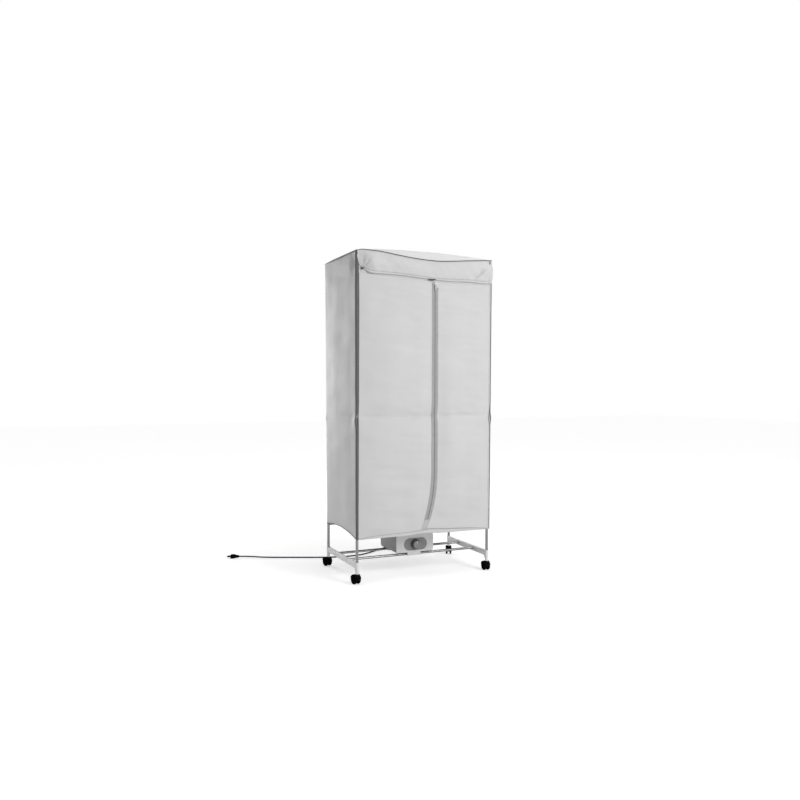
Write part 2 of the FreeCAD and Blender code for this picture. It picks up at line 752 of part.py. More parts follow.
def valance_section(x, y, out_x, out_y, seam_z, hem_z, belly=1.0):
    """Upright section of the flap: it hangs from its seam and bellies outwards."""
    mid_z = 0.5 * (seam_z + hem_z) - 0.08 * (seam_z - hem_z)
    mid_out = VALANCE_TOP_OUT + belly * (VALANCE_MID_OUT - VALANCE_TOP_OUT)
    hem_out = VALANCE_TOP_OUT + belly * (VALANCE_HEM_OUT - VALANCE_TOP_OUT)

    def at(out, z):
        return Vector(x + out_x * out, y + out_y * out, z)

    outer = [at(VALANCE_TOP_OUT, seam_z), at(mid_out, mid_z), at(hem_out, hem_z)]
    t = VALANCE_THICK
    inner = [
        at(hem_out - t, hem_z),
        at(mid_out - t, mid_z),
        at(VALANCE_TOP_OUT - t, seam_z - 0.5),
    ]
    edges = [
        Part.Arc(*outer).toShape(),
        Part.LineSegment(outer[2], inner[0]).toShape(),
        Part.Arc(*inner).toShape(),
        Part.LineSegment(inner[2], outer[0]).toShape(),
    ]
    return Part.Wire(edges)


def valance():
    """Front flap: drawn up to the corner at its left end, puffed round it at the right."""
    deep = half_deep(EAVES_Z)
    wide = half_wide(EAVES_Z)
    diagonal = math.sqrt(0.5)
    _, corner_seam, corner_hem, _ = VALANCE_STATIONS[-1]
    wires = []
    for x, seam_z, hem_z, belly in VALANCE_LEFT_END:
        wires.append(valance_section(x, -deep, 0, -1, seam_z, hem_z, belly))
    for x, seam_z, hem_z, _ in VALANCE_STATIONS[2:-1]:
        wires.append(valance_section(x, -deep, 0, -1, seam_z, hem_z))
    corner = valance_section(
        wide, -deep, diagonal, -diagonal, corner_seam, corner_hem + VALANCE_CORNER_RISE,
        VALANCE_CORNER_BELLY,
    )
    wires.append(corner)
    for along, rise, belly in VALANCE_RIGHT_END:
        wires.append(
            valance_section(wide, -deep + along, 1, 0, EAVES_Z - 1.5, corner_hem + rise, belly)
        )
    return Part.makeLoft(wires, True, True)


def top_piping():
    """Round piping in the roof's seams: drooping across the front, straight elsewhere."""
    deep = half_deep(EAVES_Z)
    wide = half_wide(EAVES_Z)
    clear = PIPING_R + 0.15
    front = []
    for x, seam_z, _, _ in VALANCE_STATIONS:
        place = Vector(x, -deep - clear, seam_z + clear)
        circle = Part.Circle(place, Vector(1, 0, 0), PIPING_R).toShape()
        front.append(Part.Wire([circle]))
    pieces = [Part.makeLoft(front, True, True)]
    z = EAVES_Z + 1.2
    for side in (-1, 1):
        x = side * (wide + clear)
        pieces.append(bar((x, -deep + 7, z), (x, deep, z), PIPING_R))
    pieces.append(bar((-wide, deep + clear, z), (wide, deep + clear, z), PIPING_R))
    return group(pieces)


def floor_cloth():
    """Cloth across the bottom, open round the posts and the heater."""
    z = FLOOR_CLOTH_Z
    x = half_wide(z) - CLOTH
    y = half_deep(z) - CLOTH
    shape = box(-x, x, -y + 0.4, y, z, z + CLOTH)
    for _, side_x, side_y in CORNERS:
        px = side_x * POST_X
        py = side_y * POST_Y
        shape = shape.cut(bar((px, py, z - 5), (px, py, z + 5), POST_R + 0.5))
        outside = box(
            min(px, px + side_x * 20), max(px, px + side_x * 20),
            min(py, py + side_y * 20), max(py, py + side_y * 20), z - 5, z + 5,
        )
        shape = shape.cut(outside)
    return shape.cut(case_block(1.0))


def build_cover():
    right = side_sheet()
    keep("cover_right_side", right)
    keep("cover_left_side", mirrored_x(right))
    keep("cover_back", back_sheet())
    keep("cover_roof", roof())
    keep("cover_header", header())
    keep("cover_valance", valance())
    keep("cover_floor_cloth", floor_cloth())
    keep("door_left", door_left())
    keep("door_right", door_right())
    keep("zip_tape_left", zip_tape(-1, DOOR_TOP_MID_Z - 1))
    keep("zip_tape_right", zip_tape(1, TAPE_TOP_Z))
    keep("zip_slider", zip_slider())
    keep("zip_pull", zip_pull())
    binding = corner_binding()
    keep("corner_bindings", group([binding, mirrored_x(binding)]))
    keep("top_piping", top_piping())


# ---- heater ----------------------------------------------------------------------
def case_block(grow):
    """Outer form of the heater's bowl, larger all round by grow."""
    x = CASE_HALF - 3 + grow
    front = CASE_FRONT_Y + FASCIA_THICK - grow
    back = CASE_BACK_Y + grow
    bottom = CASE_BOTTOM_Z - grow
    top = CASE_TOP_Z + 50
    block = box(-x, x, front, back, bottom, top)
    belly = [
        e for e in block.Edges
        if e.BoundBox.ZMax < bottom + 0.01 and e.BoundBox.YMin > back - 0.01
    ]
    block = block.makeFillet(CASE_BELLY_R + grow, belly)
    plan = box(-x, x, front, back, bottom, top)
    uprights = [
        e for e in plan.Edges
        if e.BoundBox.ZMax - e.BoundBox.ZMin > 1 and e.BoundBox.YMin > back - 0.01
    ]
    plan = plan.makeFillet(CASE_UPRIGHT_R + grow, uprights)
    keel = box(-x, x, front, back, bottom, top)
    sides = [
        e for e in keel.Edges
        if e.BoundBox.ZMax < bottom + 0.01 and e.BoundBox.YMax - e.BoundBox.YMin > 1
    ]
    keel = keel.makeFillet(CASE_KEEL_R + grow, sides)
    return block.common(plan).common(keel)


def heater_shell():
    """Bowl with an open top and front, inlet slots below and hooks for the rear rail."""
    outer = case_block(0).common(box(-150, 150, -150, 150, 0, CASE_TOP_Z - 4))
    inner = case_block(-CASE_WALL)
    front = box(
        -CASE_HALF + 5.5, CASE_HALF - 5.5, CASE_FRONT_Y, CASE_FRONT_Y + 20,
        CASE_BOTTOM_Z + CASE_WALL, FASCIA_TOP_Z - 8,
    )
    shape = outer.cut(inner).cut(front)
    for i in range(9):
        x = -48 + 12 * i
        shape = shape.cut(box(x - 2.5, x + 2.5, -30, 50, CASE_BOTTOM_Z - 1, CASE_BOTTOM_Z + 5))
    relief_hole = bar((RELIEF_X, 80, RELIEF_Z), (RELIEF_X, 130, RELIEF_Z), 6.0)
    shape = shape.cut(relief_hole)
    reach = RAIL_R + HOOK_THICK
    for x in (-60, 60):
        hook = tube(
            (x - 8, BOTTOM_RAIL_Y, BOTTOM_RAIL_Z), (x + 8, BOTTOM_RAIL_Y, BOTTOM_RAIL_Z),
            reach, RAIL_R + FIT,
        )
        hook = hook.common(box(x - 9, x + 9, 0, BOTTOM_RAIL_Y, 50, CASE_BOTTOM_Z))
        neck = box(
            x - 8, x + 8, BOTTOM_RAIL_Y - reach, BOTTOM_RAIL_Y - RAIL_R - FIT,
            BOTTOM_RAIL_Z, CASE_BOTTOM_Z + 1,
        )
        shape = shape.fuse(hook.fuse(neck))
    return shape


def obround(x, z, long, high, y0, y1):
    """Upright slab with round ends."""
    r = high / 2
    half = long / 2 - r
    body = box(x - half, x + half, y0, y1, z - r, z + r)
    for side in (-1, 1):
        body = body.fuse(bar((x + side * half, y0, z), (x + side * half, y1, z), r))
    return body.removeSplitter()


def heater_fascia():
    """White front plate with rounded corners and a lip that hooks over the front rail."""
    y0 = CASE_FRONT_Y
    y1 = CASE_FRONT_Y + FASCIA_THICK
    plate = box(-CASE_HALF, CASE_HALF, y0, y1, CASE_BOTTOM_Z + 1, FASCIA_TOP_Z)
    upper = [
        e for e in plate.Edges
        if abs(e.Length - FASCIA_THICK) < 0.01 and e.CenterOfMass.z > FASCIA_TOP_Z - 1
    ]
    plate = plate.makeFillet(FASCIA_TOP_R, upper)
    for side, radius in ((1, FASCIA_RIGHT_R), (-1, FASCIA_LEFT_R)):
        lower = [
            e for e in plate.Edges
            if abs(e.Length - FASCIA_THICK) < 0.01 and e.CenterOfMass.x * side > CASE_HALF - 1
            and e.CenterOfMass.z < CASE_BOTTOM_Z + 2
        ]
        plate = plate.makeFillet(radius, lower)
    front_rim = [e for e in plate.Edges if e.BoundBox.YMax < y0 + 0.01]
    plate = plate.makeFillet(1.5, front_rim)
    lip = box(LIP_X[0], LIP_X[1], y0, y0 + 3, LIP_BOTTOM_Z, CASE_BOTTOM_Z + 10)
    rest_z = BOTTOM_RAIL_Z + RAIL_R + FIT
    tongue = box(LIP_X[0], LIP_X[1], y0, -BOTTOM_RAIL_Y, rest_z, rest_z + TONGUE_THICK)
    window = obround(PANEL_X, PANEL_Z, PANEL_LONG, PANEL_HIGH, y0 - 5, y1 + 5)
    return plate.fuse(lip).fuse(tongue).cut(window).removeSplitter()


def control_panel():
    """Dark panel, sunk a little in the fascia's window, with a hole for the spindle."""
    y1 = CASE_FRONT_Y + FASCIA_THICK
    front = obround(
        PANEL_X, PANEL_Z, PANEL_LONG - 0.4, PANEL_HIGH - 0.4, CASE_FRONT_Y + PANEL_SUNK, y1
    )
    flange = obround(PANEL_X, PANEL_Z, PANEL_LONG + 8, PANEL_HIGH + 8, y1, y1 + 2)
    hole = bar((KNOB_X, -150, PANEL_Z), (KNOB_X, 0, PANEL_Z), SPINDLE_R + STEM_PLAY)
    return front.fuse(flange).cut(hole)


def timer_knob():
    """Round knob on the spindle that turns the timer."""
    back = CASE_FRONT_Y + PANEL_SUNK - 0.4
    front = CASE_FRONT_Y - KNOB_OUT
    skirt = bar((KNOB_X, back, PANEL_Z), (KNOB_X, back - 8, PANEL_Z), KNOB_R)
    body = Part.makeCone(
        KNOB_R - 1.5, KNOB_R - 4, abs(front - back) - 8,
        Vector(KNOB_X, back - 8, PANEL_Z), Vector(0, -1, 0),
    )
    spindle = bar((KNOB_X, back - 2, PANEL_Z), (KNOB_X, CASE_FRONT_Y + 20, PANEL_Z), SPINDLE_R)
    return skirt.fuse(body).fuse(spindle)


def timer_switch():
    """Clockwork timer behind the panel, its bore open to the spindle."""
    y0 = CASE_FRONT_Y + FASCIA_THICK + 2
    body = box(KNOB_X - 22, KNOB_X + 22, y0, y0 + 30, PANEL_Z - 22, PANEL_Z + 22)
    bore = bar((KNOB_X, y0 - 1, PANEL_Z), (KNOB_X, CASE_FRONT_Y + 21, PANEL_Z), SPINDLE_R + STEM_PLAY)
    return body.cut(bore)


def fan_motor():
    """Round motor on a flange, upright in the middle of the bowl."""
    floor = CASE_BOTTOM_Z + CASE_WALL
    can = bar((0, FAN_Y, floor), (0, FAN_Y, floor + 42), 25)
    flange = bar((0, FAN_Y, floor), (0, FAN_Y, floor + 3), 56)
    bore = bar((0, FAN_Y, floor + 20), (0, FAN_Y, floor + 50), SPINDLE_R + STEM_PLAY)
    slots = [
        bar((44 * math.cos(a), FAN_Y + 44 * math.sin(a), floor - 1),
            (44 * math.cos(a), FAN_Y + 44 * math.sin(a), floor + 5), 9)
        for a in [math.radians(30 + 60 * i) for i in range(6)]
    ]
    shape = can.fuse(flange).cut(bore)
    for slot in slots:
        shape = shape.cut(slot)
    return shape


def fan_impeller():
    """Axial impeller: hub, shaft and seven pitched blades."""
    floor = CASE_BOTTOM_Z + CASE_WALL
    low = floor + 46
    high = low + 24
    shape = bar((0, FAN_Y, low), (0, FAN_Y, high), 17)
    shape = shape.fuse(bar((0, FAN_Y, floor + 21), (0, FAN_Y, low + 2), SPINDLE_R))
    for i in range(7):
        blade = box(14, FAN_R - 2, -13, 13, -0.9, 0.9)
        blade.rotate(Vector(0, 0, 0), Vector(1, 0, 0), 32)
        blade.translate(Vector(0, 0, (low + high) / 2))
        blade.rotate(Vector(0, 0, 0), Vector(0, 0, 1), 360.0 * i / 7)
        blade.translate(Vector(0, FAN_Y, 0))
        shape = shape.fuse(blade)
    room = bar((0, FAN_Y, floor), (0, FAN_Y, high), FAN_R)
    return shape.common(room)


def heating_element():
    """Finned element in a frame that spans the bowl from wall to wall."""
    z0 = CASE_BOTTOM_Z + CASE_WALL + 82
    wall = CASE_HALF - 3 - CASE_WALL
    frame = box(-66, 66, FAN_Y - 56, FAN_Y + 56, z0, z0 + 18)
    frame = frame.cut(box(-61, 61, FAN_Y - 51, FAN_Y + 51, z0 - 1, z0 + 19))
    for i in range(9):
        x = -56 + 14 * i
        frame = frame.fuse(box(x - 2, x + 2, FAN_Y - 52, FAN_Y + 52, z0 + 2, z0 + 16))
    for y in (FAN_Y - 56, FAN_Y + 44):
        frame = frame.fuse(box(-wall, wall, y, y + 12, z0, z0 + 4))
    return frame


def outlet_grille():
    """Slotted lid that closes the bowl above the floor cloth."""
    lid = case_block(0).common(box(-150, 150, -150, 150, CASE_TOP_Z - 4, CASE_TOP_Z))
    for i in range(13):
        y = FAN_Y - 72 + 12 * i
        reach = 76.0 if abs(y - FAN_Y) < 66 else 58.0
        lid = lid.cut(box(-reach, reach, y - 3.5, y + 3.5, CASE_TOP_Z - 6, CASE_TOP_Z + 2))
    for x, y in SCREW_PLACES:
        lid = lid.cut(bar((x, y, CASE_TOP_Z - 6), (x, y, CASE_TOP_Z + 2), 1.9 + FIT))
    return lid


def grille_screws():
    """Four small screws that hold the lid on the shell's bosses."""
    screws = []
    for x, y in SCREW_PLACES:
        head = bar((x, y, CASE_TOP_Z), (x, y, CASE_TOP_Z + 2), 3.8)
        shank = bar((x, y, CASE_TOP_Z - 14), (x, y, CASE_TOP_Z), 1.9)
        screws.append(head.fuse(shank))
    return group(screws)


def screw_bosses(shell):
    """Bosses in the shell's corners for the lid's screws."""
    inside = case_block(-0.5)
    for x, y in SCREW_PLACES:
        boss = bar((x, y, CASE_TOP_Z - 30), (x, y, CASE_TOP_Z - 4), 6.5)
        hole = bar((x, y, CASE_TOP_Z - 16), (x, y, CASE_TOP_Z), 1.9 + FIT)
        shell = shell.fuse(boss.common(inside)).cut(hole)
    return shell


def strain_relief():
    """Tapered sleeve, snapped in the back wall, that the cord comes out of."""
    wall_out = CASE_BACK_Y
    plug = bar((RELIEF_X, wall_out - 6, RELIEF_Z), (RELIEF_X, wall_out, RELIEF_Z), 5.9)
    collar = bar((RELIEF_X, wall_out, RELIEF_Z), (RELIEF_X, wall_out + 3, RELIEF_Z), 8.5)
    sleeve = Part.makeCone(
        6.0, 4.2, RELIEF_LONG - 3, Vector(RELIEF_X, wall_out + 3, RELIEF_Z), Vector(0, 1, 0)
    )
    return plug.fuse(collar).fuse(sleeve)


def build_heater():
    keep("heater_shell", screw_bosses(heater_shell()))
    keep("heater_fascia", heater_fascia())
    keep("control_panel", control_panel())
    keep("timer_knob", timer_knob())
    keep("timer_switch", timer_switch())
    keep("fan_motor", fan_motor())
    keep("fan_impeller", fan_impeller())
    keep("heating_element", heating_element())
    keep("outlet_grille", outlet_grille())
    keep("grille_screws", grille_screws())
    keep("strain_relief", strain_relief())


# ---- power cord ------------------------------------------------------------------
def cord_path(route):
    """Straight runs joined by arcs; each arc is as large as its two runs allow."""
    points = [Vector(*p) for p in route]
    edges = []
    radii = []
    here = points[0]
    for before, corner, after in zip(points[:-2], points[1:-1], points[2:]):
        back = before - corner
        ahead = after - corner
        cut = 0.45 * min(back.Length, ahead.Length)
        turn = math.pi - back.getAngle(ahead)
        back.normalize()
        ahead.normalize()
        radius = cut / math.tan(turn / 2)
        radii.append(radius)
        start = corner + back * cut
        end = corner + ahead * cut
        half = back + ahead
        half.normalize()
        sag = radius / math.cos(turn / 2) - radius
        edges.append(Part.LineSegment(here, start).toShape())
        edges.append(Part.Arc(start, corner + half * sag, end).toShape())
        here = end
    edges.append(Part.LineSegment(here, points[-1]).toShape())
    return Part.Wire(edges), radii


def power_cord():
    """The whole free cord, from the strain relief to the plug."""
    path, radii = cord_path(CORD_ROUTE)
    first = Vector(*CORD_ROUTE[0])
    along = Vector(*CORD_ROUTE[1]) - first
    ring = Part.Wire([Part.Circle(first, along, CORD_R).toShape()])
    solid = path.makePipeShell([ring], True, False)
    wanted = math.pi * CORD_R ** 2 * path.Length
    print("cord length %.0f mm" % path.Length)
    print("cord volume / (section x length) %.4f" % (solid.Volume / wanted))
    print("cord arc radii, mm:", " ".join("%.0f" % r for r in radii))
    return solid


def plug():
    """Flat two-pin plug, lying in line with the cord's end."""
    end = Vector(*CORD_ROUTE[-1])
    before = Vector(*CORD_ROUTE[-2])
    turn = math.degrees(math.atan2(end.y - before.y, end.x - before.x))
    half = PLUG_WIDE / 2
    edges = [
        edge_line((0, -4.5, 0), (14, -6, 0)),
        edge_arc((14, -6, 0), (22, -10.5, 0), (26, -half, 0)),
        edge_line((26, -half, 0), (PLUG_LONG, -half, 0)),
        edge_line((PLUG_LONG, -half, 0), (PLUG_LONG, half, 0)),
        edge_line((PLUG_LONG, half, 0), (26, half, 0)),
        edge_arc((26, half, 0), (22, 10.5, 0), (14, 6, 0)),
        edge_line((14, 6, 0), (0, 4.5, 0)),
        edge_line((0, 4.5, 0), (0, -4.5, 0)),
    ]
    body = Part.Face(Part.Wire(edges)).extrude(Vector(0, 0, PLUG_THICK))
    profile = face_of(
        [
            (-1, -40, PLUG_THICK / 2 - 4.5),
            (-1, -40, PLUG_THICK / 2 + 4.5),
            (24, -40, PLUG_THICK),
            (PLUG_LONG, -40, PLUG_THICK),
            (PLUG_LONG, -40, 0),
            (24, -40, 0),
        ]
    ).extrude(Vector(0, 80, 0))
    body = body.common(profile)
    pins = [
        bar((PLUG_LONG, y, PLUG_THICK / 2), (PLUG_LONG + 19, y, PLUG_THICK / 2), 2.4)
        for y in (-9.5, 9.5)
    ]
    shape = group([body] + pins)
    shape.translate(Vector(0, 0, -PLUG_THICK / 2))
    shape.rotate(Vector(0, 0, 0), Vector(0, 0, 1), turn)
    shape.translate(Vector(end.x, end.y, end.z))
    return shape


def build_cord():
    keep("power_cord", power_cord())
    keep("plug", plug())


# ---- everything ------------------------------------------------------------------
def main():
    build_frame()
    build_casters()
    build_cover()
    build_heater()
    build_cord()
    os.makedirs("parts", exist_ok=True)
    for name, shape in NODES.items():
        if not shape.isValid():
            print("not valid:", name)
        bounds = shape.BoundBox
        print(
            "%-24s solids %2d  x %8.1f %8.1f  y %8.1f %8.1f  z %8.1f %8.1f  vol %10.0f"
            % (name, len(shape.Solids), bounds.XMin, bounds.XMax, bounds.YMin,
               bounds.YMax, bounds.ZMin, bounds.ZMax, shape.Volume)
        )
        shape.exportStep("parts/" + name + ".step")
    print(len(NODES), "nodes")


main()
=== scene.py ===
"""Looks of the fabric drying cabinet: cloth cover, zip, tube frame, casters, heater and power cord.

Everything is in metres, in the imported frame: X from left to right, Y from front to back, Z up.
"""
import logging
import math
from dataclasses import dataclass
from enum import Enum
from typing import Callable, Iterable, Sequence

import bpy
from mathutils import Matrix, Vector, noise


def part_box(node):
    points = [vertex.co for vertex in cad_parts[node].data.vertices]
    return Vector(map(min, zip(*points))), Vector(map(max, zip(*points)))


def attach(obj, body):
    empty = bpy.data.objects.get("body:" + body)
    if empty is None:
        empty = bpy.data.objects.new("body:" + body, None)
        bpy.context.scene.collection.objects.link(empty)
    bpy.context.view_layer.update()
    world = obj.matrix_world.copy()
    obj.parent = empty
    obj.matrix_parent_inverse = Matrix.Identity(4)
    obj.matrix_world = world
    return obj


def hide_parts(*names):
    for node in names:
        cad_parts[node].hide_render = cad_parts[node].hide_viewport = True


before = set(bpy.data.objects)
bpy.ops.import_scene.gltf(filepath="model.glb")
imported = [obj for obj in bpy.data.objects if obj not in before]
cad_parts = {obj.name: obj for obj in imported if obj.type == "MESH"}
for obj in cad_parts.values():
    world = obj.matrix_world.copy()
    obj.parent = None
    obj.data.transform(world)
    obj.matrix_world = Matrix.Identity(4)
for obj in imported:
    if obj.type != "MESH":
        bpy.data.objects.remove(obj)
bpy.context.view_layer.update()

LOG = logging.getLogger("drying_cabinet")

Place = Callable[[float, float], Vector]
Point = tuple[float, float, float]


# ---- sums that many pieces share -------------------------------------------------
def between(low: float, high: float, share: float) -> float:
    """The value that lies a share of the way from low to high."""
    return low + (high - low) * share


def held(value: float) -> float:
    """The value, held between 0 and 1."""
    return max(0.0, min(1.0, value))


def hump(value: float, middle: float, half: float) -> float:
    """A soft hump: 1 at its middle, about a third at half, and nearly 0 twice as far out."""
    return math.exp(-(((value - middle) / half) ** 2))


def shares(count: int) -> list[float]:
    """Evenly spaced shares from 0 to 1, both ends included."""
    return [i / count for i in range(count + 1)]


def on_line(spots: Sequence[tuple[float, float]], x: float) -> float:
    """Height at a place along a broken line, level beyond its two ends."""
    x = max(spots[0][0], min(spots[-1][0], x))
    for (xa, za), (xb, zb) in zip(spots[:-1], spots[1:]):
        if x <= xb:
            return between(za, zb, (x - xa) / (xb - xa))
    return spots[-1][1]


@dataclass(frozen=True)
class Folds:
    """Smooth uneven folds: their depth, their seed, and their size over two directions."""

    deep: float
    seed: float
    size_a: float
    size_b: float
    slant: float = 0.0

    def at(self, a: float, b: float, shift: float = 0.0) -> float:
        """Height of the folds at a place, from -deep to deep.

        Args:
            a: place along the cloth's first direction.
            b: place along its second direction.
            shift: added to the seed, so that two panels differ.

        Returns:
            The height.
        """
        where = Vector(((a + self.slant * b) / self.size_a, b / self.size_b, self.seed + shift))
        return self.deep * noise.noise(where)


# ---- modelling helpers -----------------------------------------------------------
def deselect_all() -> None:
    """Leaves nothing selected, the CAD nodes included."""
    if bpy.context.object and bpy.context.object.mode != "OBJECT":
        bpy.ops.object.mode_set(mode="OBJECT")
    bpy.ops.object.select_all(action="DESELECT")


def pick(piece: bpy.types.Object) -> None:
    """Makes one piece the selected and active object."""
    deselect_all()
    piece.select_set(True)
    bpy.context.view_layer.objects.active = piece


def take_new(name: str) -> bpy.types.Object:
    """Names the object that an operator has just added.

    Args:
        name: the piece's name.

    Returns:
        The new object, with its place moved into its mesh.
    """
    piece = bpy.context.active_object
    piece.name = name
    piece.data.name = name
    bpy.ops.object.transform_apply(location=True, rotation=True, scale=True)
    return piece


def apply_modifier(piece: bpy.types.Object, kind: str, **settings: object) -> None:
    """Adds a modifier, gives it its settings and applies it.

    Args:
        piece: the mesh object that is changed.
        kind: Blender's name for the modifier.
        settings: the modifier's own properties.
    """
    pick(piece)
    modifier = piece.modifiers.new(kind.title(), kind)
    for key, value in settings.items():
        setattr(modifier, key, value)
    bpy.ops.object.modifier_apply(modifier=modifier.name)


def smooth(piece: bpy.types.Object, angle_deg: float = 35.0) -> None:
    """Shades a piece smooth, with edges sharper than the angle kept crisp."""
    pick(piece)
    bpy.ops.object.shade_smooth_by_angle(angle=math.radians(angle_deg))


def grid_piece(name: str, across: int, along: int, place: Place) -> bpy.types.Object:
    """Adds a grid and carries each of its points to its place on a surface.

    Args:
        name: the piece's name.
        across: cells from u = 0 to u = 1.
        along: cells from v = 0 to v = 1.
        place: the surface, from (u, v) to a point.

    Returns:
        The new mesh object, one face thick.
    """
    deselect_all()
    bpy.ops.mesh.primitive_grid_add(x_subdivisions=across, y_subdivisions=along, size=2.0)
    piece = take_new(name)
    for vertex in piece.data.vertices:
        vertex.co = place((vertex.co.x + 1) / 2, (vertex.co.y + 1) / 2)
    return piece


def cloth_piece(
    name: str, across: int, along: int, place: Place, thick: float = 0.0009
) -> bpy.types.Object:
    """A sheet of cloth: a shaped grid that is given its thickness inwards.

    Args:
        name: the piece's name.
        across: cells across.
        along: cells along.
        place: the outside face, with its normal pointing out.
        thick: thickness of the cloth.

    Returns:
        The closed mesh object.
    """
    piece = grid_piece(name, across, along, place)
    apply_modifier(piece, "SOLIDIFY", thickness=thick, offset=-1.0)
    smooth(piece, 50.0)
    return piece


def tube_piece(
    name: str, points: Sequence[Vector], radius: float, sides: int = 10, closed: bool = False
) -> bpy.types.Object:
    """A round bead along a line of points, such as piping or a rolled hem.

    Args:
        name: the piece's name.
        points: the centre line.
        radius: the bead's radius.
        sides: faces round the bead.
        closed: whether the line is a ring.

    Returns:
        The closed mesh object.
    """
    deselect_all()
    curve = bpy.data.curves.new(name, "CURVE")
    curve.dimensions = "3D"
    curve.bevel_depth = radius
    curve.bevel_resolution = max(0, sides // 2 - 2)
    curve.use_fill_caps = not closed
    spline = curve.splines.new("POLY")
    spline.points.add(len(points) - 1)
    for slot, point in zip(spline.points, points):
        slot.co = (*point, 1.0)
    spline.use_cyclic_u = closed
    piece = bpy.data.objects.new(name, curve)
    bpy.context.scene.collection.objects.link(piece)
    pick(piece)
    bpy.ops.object.convert(target="MESH")
    piece = bpy.context.active_object
    piece.name = name
    smooth(piece, 60.0)
    return piece


def copies_piece(
    name: str, pattern: bpy.types.Object, places: Iterable[Matrix]
) -> bpy.types.Object:
    """Joins many copies of a small pattern into one mesh, and removes the pattern.

    Args:
        name: the piece's name.
        pattern: the small mesh that is repeated.
        places: one matrix for each copy.

    Returns:
        The new mesh object.
    """
    corners = [v.co.copy() for v in pattern.data.vertices]
    faces = [tuple(f.vertices) for f in pattern.data.polygons]
    points: list[Vector] = []
    loops: list[tuple[int, ...]] = []
    for matrix in places:
        start = len(points)
        points += [matrix @ c for c in corners]
        loops += [tuple(start + i for i in face) for face in faces]
    mesh = bpy.data.meshes.new(name)
    mesh.from_pydata([tuple(p) for p in points], [], loops)
    mesh.update()
    piece = bpy.data.objects.new(name, mesh)
    bpy.context.scene.collection.objects.link(piece)
    bpy.data.objects.remove(pattern)
    smooth(piece, 40.0)
    return piece


def bead_pattern(length: float, width: float, height: float) -> bpy.types.Object:
    """A small rounded bead along X, for stitches and zip teeth."""
    deselect_all()
    bpy.ops.mesh.primitive_ico_sphere_add(subdivisions=1, radius=0.5)
    bead = take_new("bead_pattern")
    for vertex in bead.data.vertices:
        vertex.co = Vector((vertex.co.x * length, vertex.co.y * width, vertex.co.z * height))
    return bead


def seat(position: Vector, along: Vector, out: Vector) -> Matrix:
    """Matrix that puts local X along a line and local Z out of a surface."""
    x = along.normalized()
    y = out.cross(x).normalized()
    z = x.cross(y)
    turn = Matrix((x, y, z)).transposed().to_4x4()
    return Matrix.Translation(position) @ turn


def stitched(
    name: str, line: Callable[[float], Vector], length: float, out: Vector, pitch: float = 0.0042
) -> bpy.types.Object:
    """A row of stitches along a line.

    Args:
        name: the piece's name.
        line: the seam, from 0 to 1, on the face of the cloth.
        length: the seam's length.
        out: direction that the cloth faces.
        pitch: from one stitch to the next.

    Returns:
        One mesh that holds all of the row's stitches.
    """
    count = max(2, round(length / pitch))
    bead = bead_pattern(pitch * 0.72, 0.0007, 0.00055)
    places = []
    for i in range(count):
        here = line((i + 0.5) / count)
        ahead = line(min(1.0, (i + 0.9) / count)) - line(max(0.0, (i + 0.1) / count))
        places.append(seat(here, ahead, out))
    return copies_piece(name, bead, places)


# ---- finishes --------------------------------------------------------------------
class Surface(Enum):
    """How a finish is textured."""

    WEAVE = "plain weave"
    TAPE = "herringbone tape"
    GRAIN = "moulded grain"
    COAT = "painted metal"
    PLATED = "plated metal"
    SMOOTH = "smooth"


def joined(
    tree: bpy.types.NodeTree, operation: str, first: bpy.types.NodeSocket, second: bpy.types.NodeSocket
) -> bpy.types.NodeSocket:
    """Socket with the product or the greater of two sockets."""
    node = tree.nodes.new("ShaderNodeMath")
    node.operation = operation
    tree.links.new(first, node.inputs[0])
    tree.links.new(second, node.inputs[1])
    return node.outputs[0]


def spread(
    tree: bpy.types.NodeTree, value: bpy.types.NodeSocket, start: float, stop: float, low: float, high: float
) -> bpy.types.Node:
    """Node that maps a socket's values from start and stop to low and high."""
    node = tree.nodes.new("ShaderNodeMapRange")
    for key, level in (("From Min", start), ("From Max", stop), ("To Min", low), ("To Max", high)):
        node.inputs[key].default_value = level
    tree.links.new(value, node.inputs["Value"])
    return node


